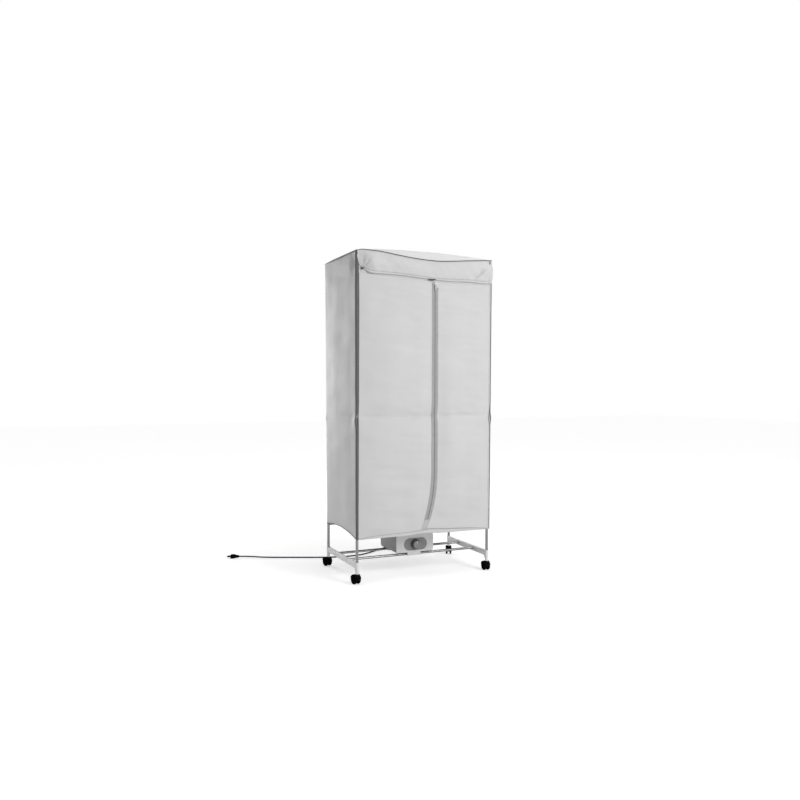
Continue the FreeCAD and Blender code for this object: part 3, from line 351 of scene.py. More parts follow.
@dataclass(frozen=True)
class Finish:
    """One material: its colour, gloss and texture, with real sizes in metres."""

    name: str
    colour: Point
    surface: Surface
    roughness: float = 0.6
    metallic: float = 0.0
    sheen: float = 0.0
    mottle: float = 0.04
    mottle_size: float = 0.05
    pitch: float = 0.0008
    relief: float = 0.00012
    specular: float = 0.5

    def make(self) -> bpy.types.Material:
        """Builds the node material once, and gives it again when it is asked for.

        Returns:
            The material.
        """
        title = "look_" + self.name
        found = bpy.data.materials.get(title)
        if found:
            return found
        material = bpy.data.materials.new(title)
        material.use_nodes = True
        tree = material.node_tree
        shader = tree.nodes["Principled BSDF"]
        shader.inputs["Metallic"].default_value = self.metallic
        shader.inputs["Specular IOR Level"].default_value = self.specular
        if self.sheen:
            shader.inputs["Sheen Weight"].default_value = self.sheen
            shader.inputs["Sheen Roughness"].default_value = 0.5
        where = tree.nodes.new("ShaderNodeTexCoord")
        self._colour(tree, shader, where)
        self._gloss(tree, shader, where)
        if self.surface is not Surface.SMOOTH:
            self._bump(tree, shader, where)
        return material

    def _noise(
        self, tree: bpy.types.NodeTree, where: bpy.types.Node, size: float, detail: float
    ) -> bpy.types.Node:
        """A noise texture whose features are about a given size."""
        node = tree.nodes.new("ShaderNodeTexNoise")
        node.inputs["Scale"].default_value = 1.0 / size
        node.inputs["Detail"].default_value = detail
        tree.links.new(where.outputs["Object"], node.inputs["Vector"])
        return node

    def _colour(
        self, tree: bpy.types.NodeTree, shader: bpy.types.Node, where: bpy.types.Node
    ) -> None:
        """Colour with slow mottling and, on cloth, a finer fleck of the yarn."""
        broad = self._noise(tree, where, self.mottle_size, 3.0).outputs["Fac"]
        level = spread(tree, broad, 0.3, 0.7, 1.0 - self.mottle, 1.0 + self.mottle).outputs["Result"]
        if self.surface in (Surface.WEAVE, Surface.TAPE):
            fleck = self._noise(tree, where, self.pitch * 2.5, 1.0).outputs["Fac"]
            fine = spread(tree, fleck, 0.0, 1.0, 0.96, 1.04)
            level = joined(tree, "MULTIPLY", level, fine.outputs["Result"])
        tint = tree.nodes.new("ShaderNodeVectorMath")
        tint.operation = "SCALE"
        tint.inputs[0].default_value = self.colour
        tree.links.new(level, tint.inputs["Scale"])
        tree.links.new(tint.outputs[0], shader.inputs["Base Color"])

    def _gloss(
        self, tree: bpy.types.NodeTree, shader: bpy.types.Node, where: bpy.types.Node
    ) -> None:
        """Roughness that varies a little, as handled surfaces do."""
        patch = self._noise(tree, where, self.mottle_size * 0.6, 2.0).outputs["Fac"]
        low, high = max(0.02, self.roughness - 0.06), min(1.0, self.roughness + 0.06)
        ramp = spread(tree, patch, 0.0, 1.0, low, high)
        tree.links.new(ramp.outputs["Result"], shader.inputs["Roughness"])

    def _wave(
        self, tree: bpy.types.NodeTree, where: bpy.types.Node, direction: str, pitch: float
    ) -> bpy.types.Node:
        """A row of threads across one axis, pitch apart."""
        node = tree.nodes.new("ShaderNodeTexWave")
        node.wave_type = "BANDS"
        node.bands_direction = direction
        node.inputs["Scale"].default_value = math.tau / (20.0 * pitch)
        node.inputs["Distortion"].default_value = 0.4
        node.inputs["Detail"].default_value = 1.0
        tree.links.new(where.outputs["Object"], node.inputs["Vector"])
        return node

    def _bump(
        self, tree: bpy.types.NodeTree, shader: bpy.types.Node, where: bpy.types.Node
    ) -> None:
        """Fine relief: threads on cloth, orange peel on paint, grain on plastic."""
        if self.surface in (Surface.WEAVE, Surface.TAPE):
            across = "DIAGONAL" if self.surface is Surface.TAPE else "X"
            warp = self._wave(tree, where, across, self.pitch).outputs["Fac"]
            weft = self._wave(tree, where, "Z", self.pitch).outputs["Fac"]
            height = joined(tree, "MAXIMUM", warp, weft)
        else:
            sizes = {Surface.GRAIN: 0.0011, Surface.COAT: 0.0022, Surface.PLATED: 0.0035}
            height = self._noise(tree, where, sizes[self.surface], 2.0).outputs["Fac"]
        bump = tree.nodes.new("ShaderNodeBump")
        bump.inputs["Strength"].default_value = 0.35
        bump.inputs["Distance"].default_value = self.relief
        tree.links.new(height, bump.inputs["Height"])
        tree.links.new(bump.outputs["Normal"], shader.inputs["Normal"])


COVER_CLOTH = Finish(
    "cover_cloth", (0.57, 0.57, 0.57), Surface.WEAVE, 0.62, sheen=0.12,
    mottle=0.018, mottle_size=0.09,
)
# The cover's cloth set lighter: painted light, for the roof that faces up into the lamps.
ROOF_CLOTH_PAINTED_LIGHT = Finish(
    "roof_cloth_painted_light", (0.68, 0.68, 0.68), Surface.WEAVE, 0.62, sheen=0.12,
    mottle=0.018, mottle_size=0.09,
)
FACING_CLOTH = Finish(
    "facing_cloth", (0.45, 0.45, 0.45), Surface.WEAVE, 0.68, sheen=0.1,
    mottle=0.03, mottle_size=0.03,
)
BINDING_CLOTH = Finish(
    "binding_cloth", (0.092, 0.093, 0.095), Surface.TAPE, 0.7, sheen=0.12,
    mottle=0.06, mottle_size=0.03,
)
PIPING_CLOTH = Finish(
    "piping_cloth", (0.085, 0.086, 0.088), Surface.TAPE, 0.7, sheen=0.1,
    mottle=0.05, mottle_size=0.03,
)
# Darker than the cover cloth: partly the welts' own cloth, partly painted shade for the dark lines along the
# hems.
WELT_AND_SHADE_CLOTH = Finish(
    "welt_and_shade_cloth", (0.33, 0.331, 0.333), Surface.TAPE, 0.7, sheen=0.1,
    mottle=0.05, mottle_size=0.03,
)
ZIP_CLOTH = Finish(
    "zip_cloth", (0.34, 0.341, 0.343), Surface.TAPE, 0.75, sheen=0.1,
    mottle=0.04, mottle_size=0.02,
)
THREAD = Finish("thread", (0.4, 0.401, 0.403), Surface.SMOOTH, 0.6, mottle=0.08, mottle_size=0.004)
ZIP_NYLON = Finish("zip_nylon", (0.13, 0.131, 0.134), Surface.SMOOTH, 0.42, mottle=0.05, mottle_size=0.004)
# Near black: painted shade, for the shadow under the valance's hem at the zip's top.
TAB_SHADE_CLOTH = Finish(
    "tab_shade_cloth", (0.05, 0.05, 0.052), Surface.TAPE, 0.75, sheen=0.05,
    mottle=0.05, mottle_size=0.02,
)
PULL_PAINT = Finish(
    "pull_paint", (0.42, 0.421, 0.424), Surface.COAT, 0.4,
    mottle=0.03, mottle_size=0.01, relief=0.00002,
)
# Near black: partly the knob's own plastic, partly painted shade for its shaded side and the gap round it.
KNOB_PLASTIC_AND_SHADE = Finish(
    "knob_plastic_and_shade", (0.075, 0.086, 0.088), Surface.GRAIN, 0.5,
    mottle=0.03, mottle_size=0.02, relief=0.00006, specular=0.3,
)
MARK_PRINT = Finish("mark_print", (0.62, 0.62, 0.62), Surface.SMOOTH, 0.6, mottle=0.02, mottle_size=0.01)
DARK_METAL = Finish(
    "dark_metal", (0.22, 0.22, 0.225), Surface.PLATED, 0.36, 0.7,
    mottle=0.08, mottle_size=0.01,
)
WHITE_PLASTIC = Finish(
    "white_plastic", (0.74, 0.74, 0.735), Surface.GRAIN, 0.42,
    mottle=0.012, mottle_size=0.06, relief=0.00004,
)
# Darker than the white plastic: painted shade, for the shade of the cover's hem falling on the white fascia.
FASCIA_PLASTIC_PAINTED_SHADE = Finish(
    "fascia_plastic_painted_shade", (0.6, 0.6, 0.597), Surface.GRAIN, 0.45,
    mottle=0.012, mottle_size=0.06, relief=0.00004,
)
GREY_PLASTIC = Finish(
    "grey_plastic", (0.22, 0.221, 0.224), Surface.GRAIN, 0.5,
    mottle=0.02, mottle_size=0.05, relief=0.00006,
)
PANEL_PLASTIC = Finish(
    "panel_plastic", (0.2, 0.201, 0.204), Surface.GRAIN, 0.48,
    mottle=0.03, mottle_size=0.02, relief=0.00007,
)
BLACK_PLASTIC = Finish(
    "black_plastic", (0.0055, 0.0055, 0.0058), Surface.GRAIN, 0.6,
    mottle=0.1, mottle_size=0.02, relief=0.00005, specular=0.0,
)
CORD_SHEATH = Finish(
    "cord_sheath", (0.0055, 0.0055, 0.0058), Surface.GRAIN, 0.6,
    mottle=0.1, mottle_size=0.03, relief=0.00003, specular=0.0,
)
# Dark base colour: painted reflection, standing for the dark surroundings that the light steel tubes mirror.
TUBE_STEEL_PAINTED_REFLECTION = Finish(
    "tube_steel_painted_reflection", (0.21, 0.211, 0.214), Surface.COAT, 0.22, 0.92,
    mottle=0.03, mottle_size=0.03, relief=0.00003,
)
ZINC = Finish(
    "zinc", (0.5, 0.5, 0.49), Surface.PLATED, 0.35, 0.9,
    mottle=0.06, mottle_size=0.01, relief=0.00003,
)
FINS = Finish(
    "fins", (0.7, 0.7, 0.7), Surface.PLATED, 0.4, 0.9,
    mottle=0.04, mottle_size=0.02, relief=0.00004,
)


def dress(piece: bpy.types.Object, finish: Finish) -> None:
    """Gives a new piece its finish as its only material."""
    piece.data.materials.clear()
    piece.data.materials.append(finish.make())


def keep(piece: bpy.types.Object, finish: Finish, slot: str, body: str, *nodes: str) -> None:
    """Dresses a piece, sets it on its body and hides the nodes that it stands for.

    Args:
        piece: the new piece.
        finish: its material.
        slot: the record's slot; not used.
        body: the body that it moves with.
        nodes: the nodes that it takes the place of.
    """
    dress(piece, finish)
    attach(piece, body)
    if nodes:
        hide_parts(*nodes)
    LOG.info("%s: %d faces", piece.name, len(piece.data.polygons))


def dress_node(name: str, finish: Finish) -> None:
    """Gives a CAD node that stays in view its finish."""
    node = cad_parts[name]
    material = finish.make()
    if not node.material_slots:
        node.data.materials.append(material)
    for material_slot in node.material_slots:
        material_slot.material = material


# ---- shape of the cover ----------------------------------------------------------
FRONT_FOLDS = (
    Folds(0.0042, 3.1, 0.26, 0.080),
    Folds(0.0020, 7.7, 0.12, 0.028, 0.35),
    Folds(0.0034, 1.3, 0.11, 0.5),
)
FRONT_UPPER_FOLDS = Folds(0.0018, 9.2, 0.10, 0.018, -0.2)
FRONT_CREASE_FOLDS = Folds(0.0022, 15.4, 0.05, 0.03, 0.5)
CREASE_WANDER = Folds(0.3, 5.0, 0.09, 0.2)
SIDE_FOLDS = (Folds(0.0044, 11.0, 0.13, 0.5), Folds(0.0042, 17.0, 0.2, 0.08, 0.3))
HOLLOW_PLEATS = Folds(0.0036, 19.0, 0.013, 0.10, -0.4)
BACK_FOLDS = (Folds(0.0028, 23.0, 0.11, 0.7), Folds(0.0016, 29.0, 0.3, 0.09))
ROOF_FOLDS = Folds(0.0016, 31.0, 0.14, 0.10)
FLOOR_SLACK = Folds(0.0006, 37.0, 0.12, 0.12)
VALANCE_FOLDS = (Folds(0.0048, 41.0, 0.085, 0.8, 0.05), Folds(0.0022, 43.0, 0.034, 0.7, -0.07))
VALANCE_WRINKLES = Folds(0.0018, 45.0, 0.16, 0.024)
EDGE_WAVER = Folds(0.0006, 47.0, 2.0, 0.09)


@dataclass(frozen=True)
class CoverForm:
    """The cover's outside surfaces, with the same driving dimensions as its solids."""

    hem_z: float = 0.202
    eaves_z: float = 1.490
    half_wide_hem: float = 0.344
    half_deep_hem: float = 0.207
    flare_x: float = 0.004
    flare_y: float = 0.008
    crease_z: float = 0.753
    crease_deep: float = 0.0125
    crease_half: float = 0.080
    crease_sharp: float = 0.011
    belly_left: float = 0.0125
    belly_right: float = 0.0095
    upper_folds_z: float = 1.16
    side_swell: float = 0.0085
    hollow_in: float = 0.030
    hollow_z: float = 1.440
    hollow_deep: float = 0.0100
    arch_z: float = 0.230
    binding_front: float = 0.0100
    front_r: float = 0.009
    rear_r: float = 0.014
    knuckle_z: float = 0.736
    knuckle_out: float = 0.0036
    seam_top_x: float = 0.046
    bend_z: float = 0.490
    bend_r: float = 0.710

    def half_wide(self, z: float) -> float:
        """Outside half width at a height."""
        return self.half_wide_hem + (z - self.hem_z) * self.flare_x

    def half_deep(self, z: float) -> float:
        """Outside half depth at a height."""
        return self.half_deep_hem + (z - self.hem_z) * self.flare_y

    def hinge_x(self, z: float) -> float:
        """Outer edge of a door, beside its corner binding."""
        return self.half_wide(z) - self.binding_front - 0.0005

    def seam_x(self, z: float) -> float:
        """The zip line's place at a height: straight above, an arc to the left below."""
        if z >= self.bend_z:
            return self.seam_top_x
        drop = self.bend_z - z
        return self.seam_top_x - self.bend_r + math.sqrt(self.bend_r**2 - drop**2)

    def crease(self, z: float) -> float:
        """Depth of the fold that lies across the cover half way up."""
        near = abs(z - self.crease_z)
        broad = max(0.0, 1.0 - near / self.crease_half) ** 1.6
        return self.crease_deep * (0.72 * broad + 0.28 * hump(near, 0.0, self.crease_sharp))

    def knuckle(self, z: float) -> float:
        """Bulge of the cloth over the post connectors half way up, at a corner."""
        return self.knuckle_out * hump(z, self.knuckle_z, 0.019)

    @staticmethod
    def door_top(x: float) -> float:
        """Top edge of the doors, just under the valance's hem."""
        left, middle, right = (-0.334, 1.397), (0.046, 1.374), (0.334, 1.371)
        a, b = (left, middle) if x < middle[0] else (middle, right)
        return a[1] + (b[1] - a[1]) * (x - a[0]) / (b[0] - a[0])

    @staticmethod
    def fall_back(past: float, radius: float) -> float:
        """How far a rounded upright edge lies behind the flat face, past where it starts to turn."""
        past = max(0.0, min(radius, past))
        return radius - math.sqrt(radius * radius - past * past)

    @property
    def turn_share(self) -> float:
        """Share of an upright edge's radius that lies beyond its middle."""
        return 1.0 - math.sqrt(0.5)

    def hem_line(self, x: float) -> float:
        """Height of the welt above the doors' lower edge, which dies away at both corners."""
        spots = (
            (-0.345, 0.2030), (-0.301, 0.2085), (-0.252, 0.2130), (-0.178, 0.2155), (-0.078, 0.2175),
            (-0.027, 0.2215), (0.025, 0.2255), (0.077, 0.2225), (0.130, 0.2190), (0.184, 0.2170),
            (0.238, 0.2145), (0.293, 0.2090), (0.345, 0.2035),
        )
        return on_line(spots, x)

    def low_edge(self, x: float) -> float:
        """Height of the doors' lower edge: it is drawn up a little at the zip."""
        return self.hem_z + 0.0045 * hump(x, 0.005, 0.06)

    def front(self, x: float, z: float, proud: float = 0.0) -> Vector:
        """A point of the front cloth.

        Args:
            x: place from left to right.
            z: height.
            proud: how far in front of the cloth's face the point is.

        Returns:
            The point.
        """
        from_hinge, from_zip = self.hinge_x(z) - abs(x), abs(x - self.seam_x(z))
        calm = held(from_hinge / 0.06) * (0.15 + 0.85 * min(1.0, from_zip / 0.05))
        low = held((z - self.hem_z) / 0.05)
        edge = held(from_hinge / (0.17 if x < 0.0 else 0.11))
        seam = min(1.0, from_zip / 0.09)
        belly = self.belly_left if x < self.seam_x(z) else self.belly_right
        belly *= (1.0 - (1.0 - edge) ** 2) * (0.12 + 0.88 * seam**2 * (3 - 2 * seam))
        belly *= low * math.sin(math.pi * min(1.0, (z - self.hem_z) / 1.17)) ** 0.6
        folds = sum(layer.at(x, z) for layer in FRONT_FOLDS) * calm
        folds += FRONT_UPPER_FOLDS.at(x, z) * calm * held((z - self.upper_folds_z) / 0.14)
        folds += FRONT_CREASE_FOLDS.at(x, z) * calm * hump(z, self.crease_z + 0.012, 0.05)
        under_top = held((self.door_top(x) - z) / 0.035)
        folds = max(0.0, folds) * (1.0 - under_top) * 0.5 + folds * under_top
        tuck = self.crease(z) * (0.28 + 0.72 * calm * (0.8 + CREASE_WANDER.at(x, z)))
        y = -self.half_deep(z) + tuck - belly - folds * low - proud
        return Vector((x, y, z))

    def side(self, side: int, y: float, z: float, proud: float = 0.0) -> Vector:
        """A point of a side's cloth.

        Args:
            side: -1 for the left side, 1 for the right.
            y: place from front to back.
            z: height.
            proud: how far outside the cloth's face the point is.

        Returns:
            The point.
        """
        reach = self.half_deep(z)
        calm = held((reach - abs(y)) / 0.05)
        low = held((z - self.arch_z + 0.02) / 0.08)
        swell = max(0.0, math.sin(math.pi * held((z - 0.2) / 1.29))) ** 0.5
        pull = 0.0022 * max(0.0, (y - 0.130) / 0.077) ** 2
        pull -= self.side_swell * (1.0 - (y / reach) ** 2) * swell
        folds = sum(layer.at(y, z, side) for layer in SIDE_FOLDS) * calm
        pucker = hump(z, self.crease_z + 0.004, 0.012) * math.exp(-((y + reach) / 0.055))
        folds -= 0.0030 * pucker + 0.20 * self.crease(z) * calm
        folds += self.knuckle(z) * hump(reach - abs(y), 0.0, 0.028)
        if side < 0:
            past = y + reach
            away = ((past - self.hollow_in) / 0.022) ** 2 + ((z - self.hollow_z) / 0.034) ** 2
            shut = held((past - 0.006) / 0.014)
            folds -= self.hollow_deep * math.exp(-away) * shut
            folds += HOLLOW_PLEATS.at(y, z) * math.exp(-away / 3.0) * shut
        folds = max(folds, -0.0020 - 0.0130 * calm)
        x = self.half_wide(z) - pull * low + folds * low + proud
        x -= self.fall_back(y - (reach - self.rear_r), self.rear_r)
        x -= self.fall_back(-y - (reach - self.front_r), self.front_r)
        return Vector((side * x, y, z))

    def arch(self, y: float) -> float:
        """Height of a side's arched lower edge."""
        front = (-self.half_deep_hem, self.hem_z + 0.004)
        back = (self.half_deep_hem, self.hem_z + 0.008)
        top = (-0.020, self.arch_z)
        total = 0.0
        spots = (front, top, back)
        for i, (yi, zi) in enumerate(spots):
            weight = 1.0
            for j, (yj, _) in enumerate(spots):
                if j != i:
                    weight *= (y - yj) / (yi - yj)
            total += zi * weight
        return total


FORM = CoverForm()


@dataclass(frozen=True)
class ValanceForm:
    """The flap over the top of the doors: its stations along the front, seam and hem."""

    stations: tuple[Point, ...] = (
        (-0.3420, 1.4935, 1.4700),
        (-0.3310, 1.4965, 1.4320),
        (-0.3180, 1.4990, 1.4220),
        (-0.2860, 1.4985, 1.4000),
        (-0.2260, 1.4955, 1.3970),
        (-0.1380, 1.4840, 1.3960),
        (-0.0320, 1.4730, 1.3880),
        (0.0600, 1.4700, 1.3825),
        (0.1230, 1.4730, 1.3812),
        (0.2240, 1.4820, 1.3830),
        (0.3000, 1.4880, 1.3800),
        (0.3490, 1.4910, 1.3835),
    )
    wrap: float = 0.014
    corner_r: float = 0.008
    tie: tuple[float, float] = (-0.3170, 1.4180)
    slants: tuple[tuple[float, tuple[float, float], tuple[float, float], float], ...] = (
        (-0.0085, (0.318, 1.458), (0.226, 1.390), 0.010),
        (0.0048, (0.330, 1.452), (0.250, 1.386), 0.007),
        (-0.0060, (0.345, 1.440), (0.318, 1.384), 0.007),
    )

    def heights(self, x: float) -> tuple[float, float]:
        """Seam and hem heights at a place along the front, on a smooth line.

        Args:
            x: place from left to right.

        Returns:
            The seam's and the hem's height.
        """
        spots = self.stations
        x = max(spots[0][0], min(spots[-1][0], x))
        i = max(k for k in range(len(spots) - 1) if spots[k][0] <= x + 1e-9)
        before = spots[max(0, i - 1)]
        a, b = spots[i], spots[i + 1]
        after = spots[min(len(spots) - 1, i + 2)]
        t = (x - a[0]) / (b[0] - a[0])
        result = []
        for k in (1, 2):
            slope_a = (b[k] - before[k]) / (b[0] - before[0]) * (b[0] - a[0])
            slope_b = (after[k] - a[k]) / (after[0] - a[0]) * (b[0] - a[0])
            h = (
                (2 * t**3 - 3 * t**2 + 1) * a[k]
                + (t**3 - 2 * t**2 + t) * slope_a
                + (-2 * t**3 + 3 * t**2) * b[k]
                + (t**3 - t**2) * slope_b
            )
            result.append(h)
        return result[0], result[1]


VALANCE = ValanceForm()


# ---- the cover -------------------------------------------------------------------
@dataclass
class Cover:
    """Fixed cloth of the cover: sides, back, roof, strip behind the valance, floor and valance."""

    cloth: float = 0.0009
    hem_steps: int = 240

    def build(self) -> None:
        """Makes and dresses all the fixed cloth."""
        self.side_panel(-1, "left_side_cloth", "cover_left_side")
        self.side_panel(1, "right_side_cloth", "cover_right_side")
        self.back_panel()
        self.roof_panel()
        self.header_strip()
        self.floor_cloth()
        self.valance()
        self.bindings()
        self.edge_piping()
        self.side_hems()

    def side_panel(self, side: int, name: str, node: str) -> None:
        """One side, from its arched lower edge to the eaves."""
        def place(u: float, v: float) -> Vector:
            """Outside face, front to back on the right and back to front on the left."""
            share = side * (2 * u - 1)
            share -= 0.20 * (1 - share * share)
            tuck = FORM.turn_share * (FORM.front_r if share < 0 else FORM.rear_r)
            y_low = share * (FORM.half_deep_hem - tuck)
            z = between(FORM.arch(y_low), FORM.eaves_z, v)
            return FORM.side(side, share * (FORM.half_deep(z) - tuck), z)

        piece = cloth_piece(name, 110, 230, place, self.cloth)
        keep(piece, COVER_CLOTH, "cover_cloth", "frame", node)

    def back_panel(self) -> None:
        """The back, with shallow upright folds."""
        def place(u: float, v: float) -> Vector:
            """Outside face, right to left as seen from the front."""
            z = between(FORM.hem_z, FORM.eaves_z, v)
            x = (1 - 2 * u) * (FORM.half_wide(z) - FORM.turn_share * FORM.rear_r)
            calm = held((FORM.half_wide(z) - abs(x)) / 0.06)
            folds = sum(layer.at(x, z) for layer in BACK_FOLDS)
            y = FORM.half_deep(z) - FORM.crease(z) * 0.8 * calm + 1.5 * folds * calm
            y -= FORM.fall_back(abs(x) - (FORM.half_wide(z) - FORM.rear_r), FORM.rear_r)
            return Vector((x, y, z))

        piece = cloth_piece("back_cloth", 96, 184, place, self.cloth)
        keep(piece, COVER_CLOTH, "cover_cloth", "frame", "cover_back")

    def crown(self, x: float) -> float:
        """Height of the roof's ridge behind the valance."""
        spots = ((-0.349, 1.494), (-0.318, 1.503), (-0.226, 1.510), (-0.138, 1.512), (-0.032, 1.513),
                 (0.060, 1.512), (0.123, 1.510), (0.224, 1.505), (0.300, 1.500), (0.349, 1.494))
        return on_line(spots, x)

    def roof_panel(self) -> None:
        """The roof: low at the back, crowned, and rolled down to the valance's seam."""
        back_y = FORM.half_deep(FORM.eaves_z) - 0.0005
        front_y = -FORM.half_deep(FORM.eaves_z) + 0.0005
        ridge_y, roll_share = -0.196, 0.14

        def place(u: float, v: float) -> Vector:
            """Upper face, left to right and front to back."""
            x = (2 * u - 1) * 0.3485
            seam_z, _ = VALANCE.heights(x)
            crown = self.crown(x)
            rise = crown - FORM.eaves_z
            if v < roll_share:
                t = v / roll_share
                angle = t * math.pi / 2
                y = front_y + (ridge_y - front_y) * (1 - math.cos(angle))
                z = seam_z + 0.001 + (crown - seam_z) * math.sin(angle)
            else:
                t = (v - roll_share) / (1 - roll_share)
                y = between(ridge_y, back_y, t)
                fall = held((back_y - y) / 0.15)
                z = FORM.eaves_z + 0.0012 + rise * math.sin(fall * math.pi / 2) ** 0.8
                z -= 0.002 * math.sin(math.pi * t) * max(0.0, 1 - abs(x) / 0.33)
                z += ROOF_FOLDS.at(x, y) * math.sin(math.pi * t)
            return Vector((x, y, z))

        # The roof's finish is painted light: the cover's cloth set lighter because the roof faces the light.
        piece = cloth_piece("roof_cloth_painted_light", 110, 72, place, self.cloth)
        keep(piece, ROOF_CLOTH_PAINTED_LIGHT, "cover_cloth", "frame", "cover_roof")

    def header_strip(self) -> None:
        """Fixed strip of the front behind the valance."""
        half_x, overlap, step_back, inset, fade = 0.3375, 0.004, 0.0018, 0.331, 0.010

        def place(u: float, v: float) -> Vector:
            """Outside face, stepped back behind the doors' top edge, and shorter at both ends."""
            x = (2 * u - 1) * half_x
            seam_z, _ = VALANCE.heights(x)
            top = FORM.door_top(x)
            reach = overlap * max(-0.15, min(1.0, (inset - abs(x)) / fade))
            z = between(top - reach, seam_z - 0.004, v)
            step = step_back * held((top + 0.003 - z) / 0.004)
            return Vector((x, -FORM.half_deep(z) + 0.0002 + step, z))

        piece = cloth_piece("header_cloth", 60, 36, place, self.cloth)
        keep(piece, COVER_CLOTH, "cover_cloth", "frame", "cover_header")

    def bowl_edge(self, way: Vector) -> float:
        """Distance from the bowl's centre to the cut-out's edge, in one direction."""
        half_x, rear, front, r = 0.0955, 0.1050, -0.1030, 0.011
        reach = half_x / abs(way.x) if abs(way.x) > 1e-9 else 9.0
        reach = min(reach, (rear if way.y > 0 else front) / way.y if abs(way.y) > 1e-9 else 9.0)
        hit = way * reach
        if hit.y > rear - r and abs(hit.x) > half_x - r:
            hub = Vector((math.copysign(half_x - r, way.x), rear - r, 0))
            along = way.dot(hub)
            reach = along + math.sqrt(max(0.0, along**2 - hub.length_squared + r * r))
        return reach

    def floor_cloth(self) -> None:
        """Cloth across the bottom, cut out round the heater's bowl and notched at the posts."""
        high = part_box("cover_floor_cloth")[1]
        centre = Vector((0.0, 0.0085, 0.0))
        half_x, corner = high.x - 0.0008, 0.5225

        def place(u: float, v: float) -> Vector:
            """Upper face: round the bowl by u, from the outer edge to the bowl by v."""
            angle = math.tau * u + 0.003
            way = Vector((math.cos(angle), math.sin(angle), 0.0))
            sy = math.copysign(1, way.y)
            depth = high.y - 0.0008 - sy * centre.y
            outer = min(
                half_x / max(1e-6, abs(way.x)),
                depth / max(1e-6, abs(way.y)),
                (corner - sy * centre.y) / (abs(way.x) + abs(way.y)),
            )
            spot = centre + way * between(outer, self.bowl_edge(way), v)
            slack = FLOOR_SLACK.at(spot.x, spot.y) * math.sin(math.pi * v)
            spot.z = high.z - 0.0006 + slack
            return spot

        piece = grid_piece("floor_cloth", 180, 20, place)
        pick(piece)
        bpy.ops.object.mode_set(mode="EDIT")
        bpy.ops.mesh.select_all(action="SELECT")
        bpy.ops.mesh.remove_doubles(threshold=0.00002)
        bpy.ops.object.mode_set(mode="OBJECT")
        apply_modifier(piece, "SOLIDIFY", thickness=0.0008, offset=-1.0)
        smooth(piece, 40.0)
        keep(piece, COVER_CLOTH, "cover_cloth", "frame", "cover_floor_cloth")

    @property
    def valance_run(self) -> float:
        """Length of the valance along its seam."""
        r = VALANCE.corner_r
        wide = FORM.half_wide(FORM.eaves_z)
        return wide - r - VALANCE.stations[0][0] + math.pi * r / 2 + VALANCE.wrap - r

    def valance_point(self, s: float, v: float, proud: float = 0.0) -> Vector:
        """A point of the valance's outside face.

        Args:
            s: place along the cloth from its left end, in metres.
            v: 0 at the hem, 1 at the seam.
            proud: how far outside the cloth the point is.

        Returns:
            The point.
        """
        deep = FORM.half_deep(FORM.eaves_z)
        wide = FORM.half_wide(FORM.eaves_z)
        r, left = VALANCE.corner_r, VALANCE.stations[0][0]
        arc = r * math.pi / 2
        run = wide - r - left
        s = max(0.0, min(self.valance_run, s))
        if s < run:
            base, out = Vector((left + s, -deep, 0)), Vector((0, -1, 0))
        elif s < run + arc:
            a = (s - run) / r
            out = Vector((math.sin(a), -math.cos(a), 0))
            base = Vector((wide - r, -deep + r, 0)) + out * r
        else:
            base, out = Vector((wide, -deep + r + s - run - arc, 0)), Vector((1, 0, 0))
        x = base.x
        seam_z, hem_z = VALANCE.heights(x)
        past = max(0.0, s - run - arc * 0.5)
        seam_z -= 0.12 * past
        hem_z += 1.7 * past
        down = 1 - v
        z = between(seam_z, hem_z, down)
        share = (1 - 0.88 * hump(x, left, 0.030)) * (1 - 0.30 * held((x - 0.25) / 0.09))
        share *= 1.0 + 1.1 * hump(x, -0.272, 0.034)
        bulge = 0.0014 + 0.0100 * share * max(0.0, math.sin(math.pi * 0.96 * down)) ** 0.8
        fade = math.sin(math.pi * min(1.0, 0.10 + down * 0.72)) * (1 - 0.45 * down * down)
        folds = sum(layer.at(x, down) for layer in VALANCE_FOLDS) + VALANCE_WRINKLES.at(x, z)
        for deep, start, end, half in VALANCE.slants:
            folds += deep * self.slanted(x, z, start, end, half)
        folds += self.gather(x, z)
        return Vector((base.x, base.y, z)) + out * (max(0.0011, bulge + folds * fade) + proud)

    @staticmethod
    def slanted(
        x: float, z: float, start: tuple[float, float], end: tuple[float, float], half: float
    ) -> float:
        """A straight slanting fold on the front, from 0 to 1: 1 on its line between two points."""
        ax, az = end[0] - start[0], end[1] - start[1]
        length = math.hypot(ax, az)
        t = ((x - start[0]) * ax + (z - start[1]) * az) / length**2
        off = abs((x - start[0]) * az - (z - start[1]) * ax) / length
        return max(0.0, min(1.0, 3 * t, 3 * (1 - t))) * hump(off, 0.0, half)

    @staticmethod
    def gather(x: float, z: float) -> float:
        """Pleats that run together at the tie at the valance's lower left corner."""
        dx, dz = x - VALANCE.tie[0], z - VALANCE.tie[1]
        away = math.hypot(dx, dz)
        angle = math.atan2(dz, dx)
        reach = math.exp(-away / 0.034) * min(1.0, away / 0.007)
        below = math.exp(-((dx - 0.034) / 0.022) ** 2 - ((dz + 0.002) / 0.012) ** 2)
        pleats = (0.0030 if dz > 0.0 else 0.0060) * reach * math.sin(11.0 * angle + 0.6)
        return pleats - 0.0030 * hump(away, 0.0, 0.016) - 0.0060 * below

    def valance(self) -> None:
        """The flap, its rolled hem, stitching, and the tie at its drawn-up left corner."""
        run = self.valance_run
        cloth = cloth_piece(
            "valance_cloth", 330, 36, lambda u, v: self.valance_point(u * run, v), self.cloth
        )
        keep(cloth, COVER_CLOTH, "cover_cloth", "frame", "cover_valance")
        hem = [self.valance_point(run * t, 0.0, 0.0) for t in shares(self.hem_steps)]
        end = [self.valance_point(0.0006, 1 - i / 8, 0.0006) for i in range(8)]
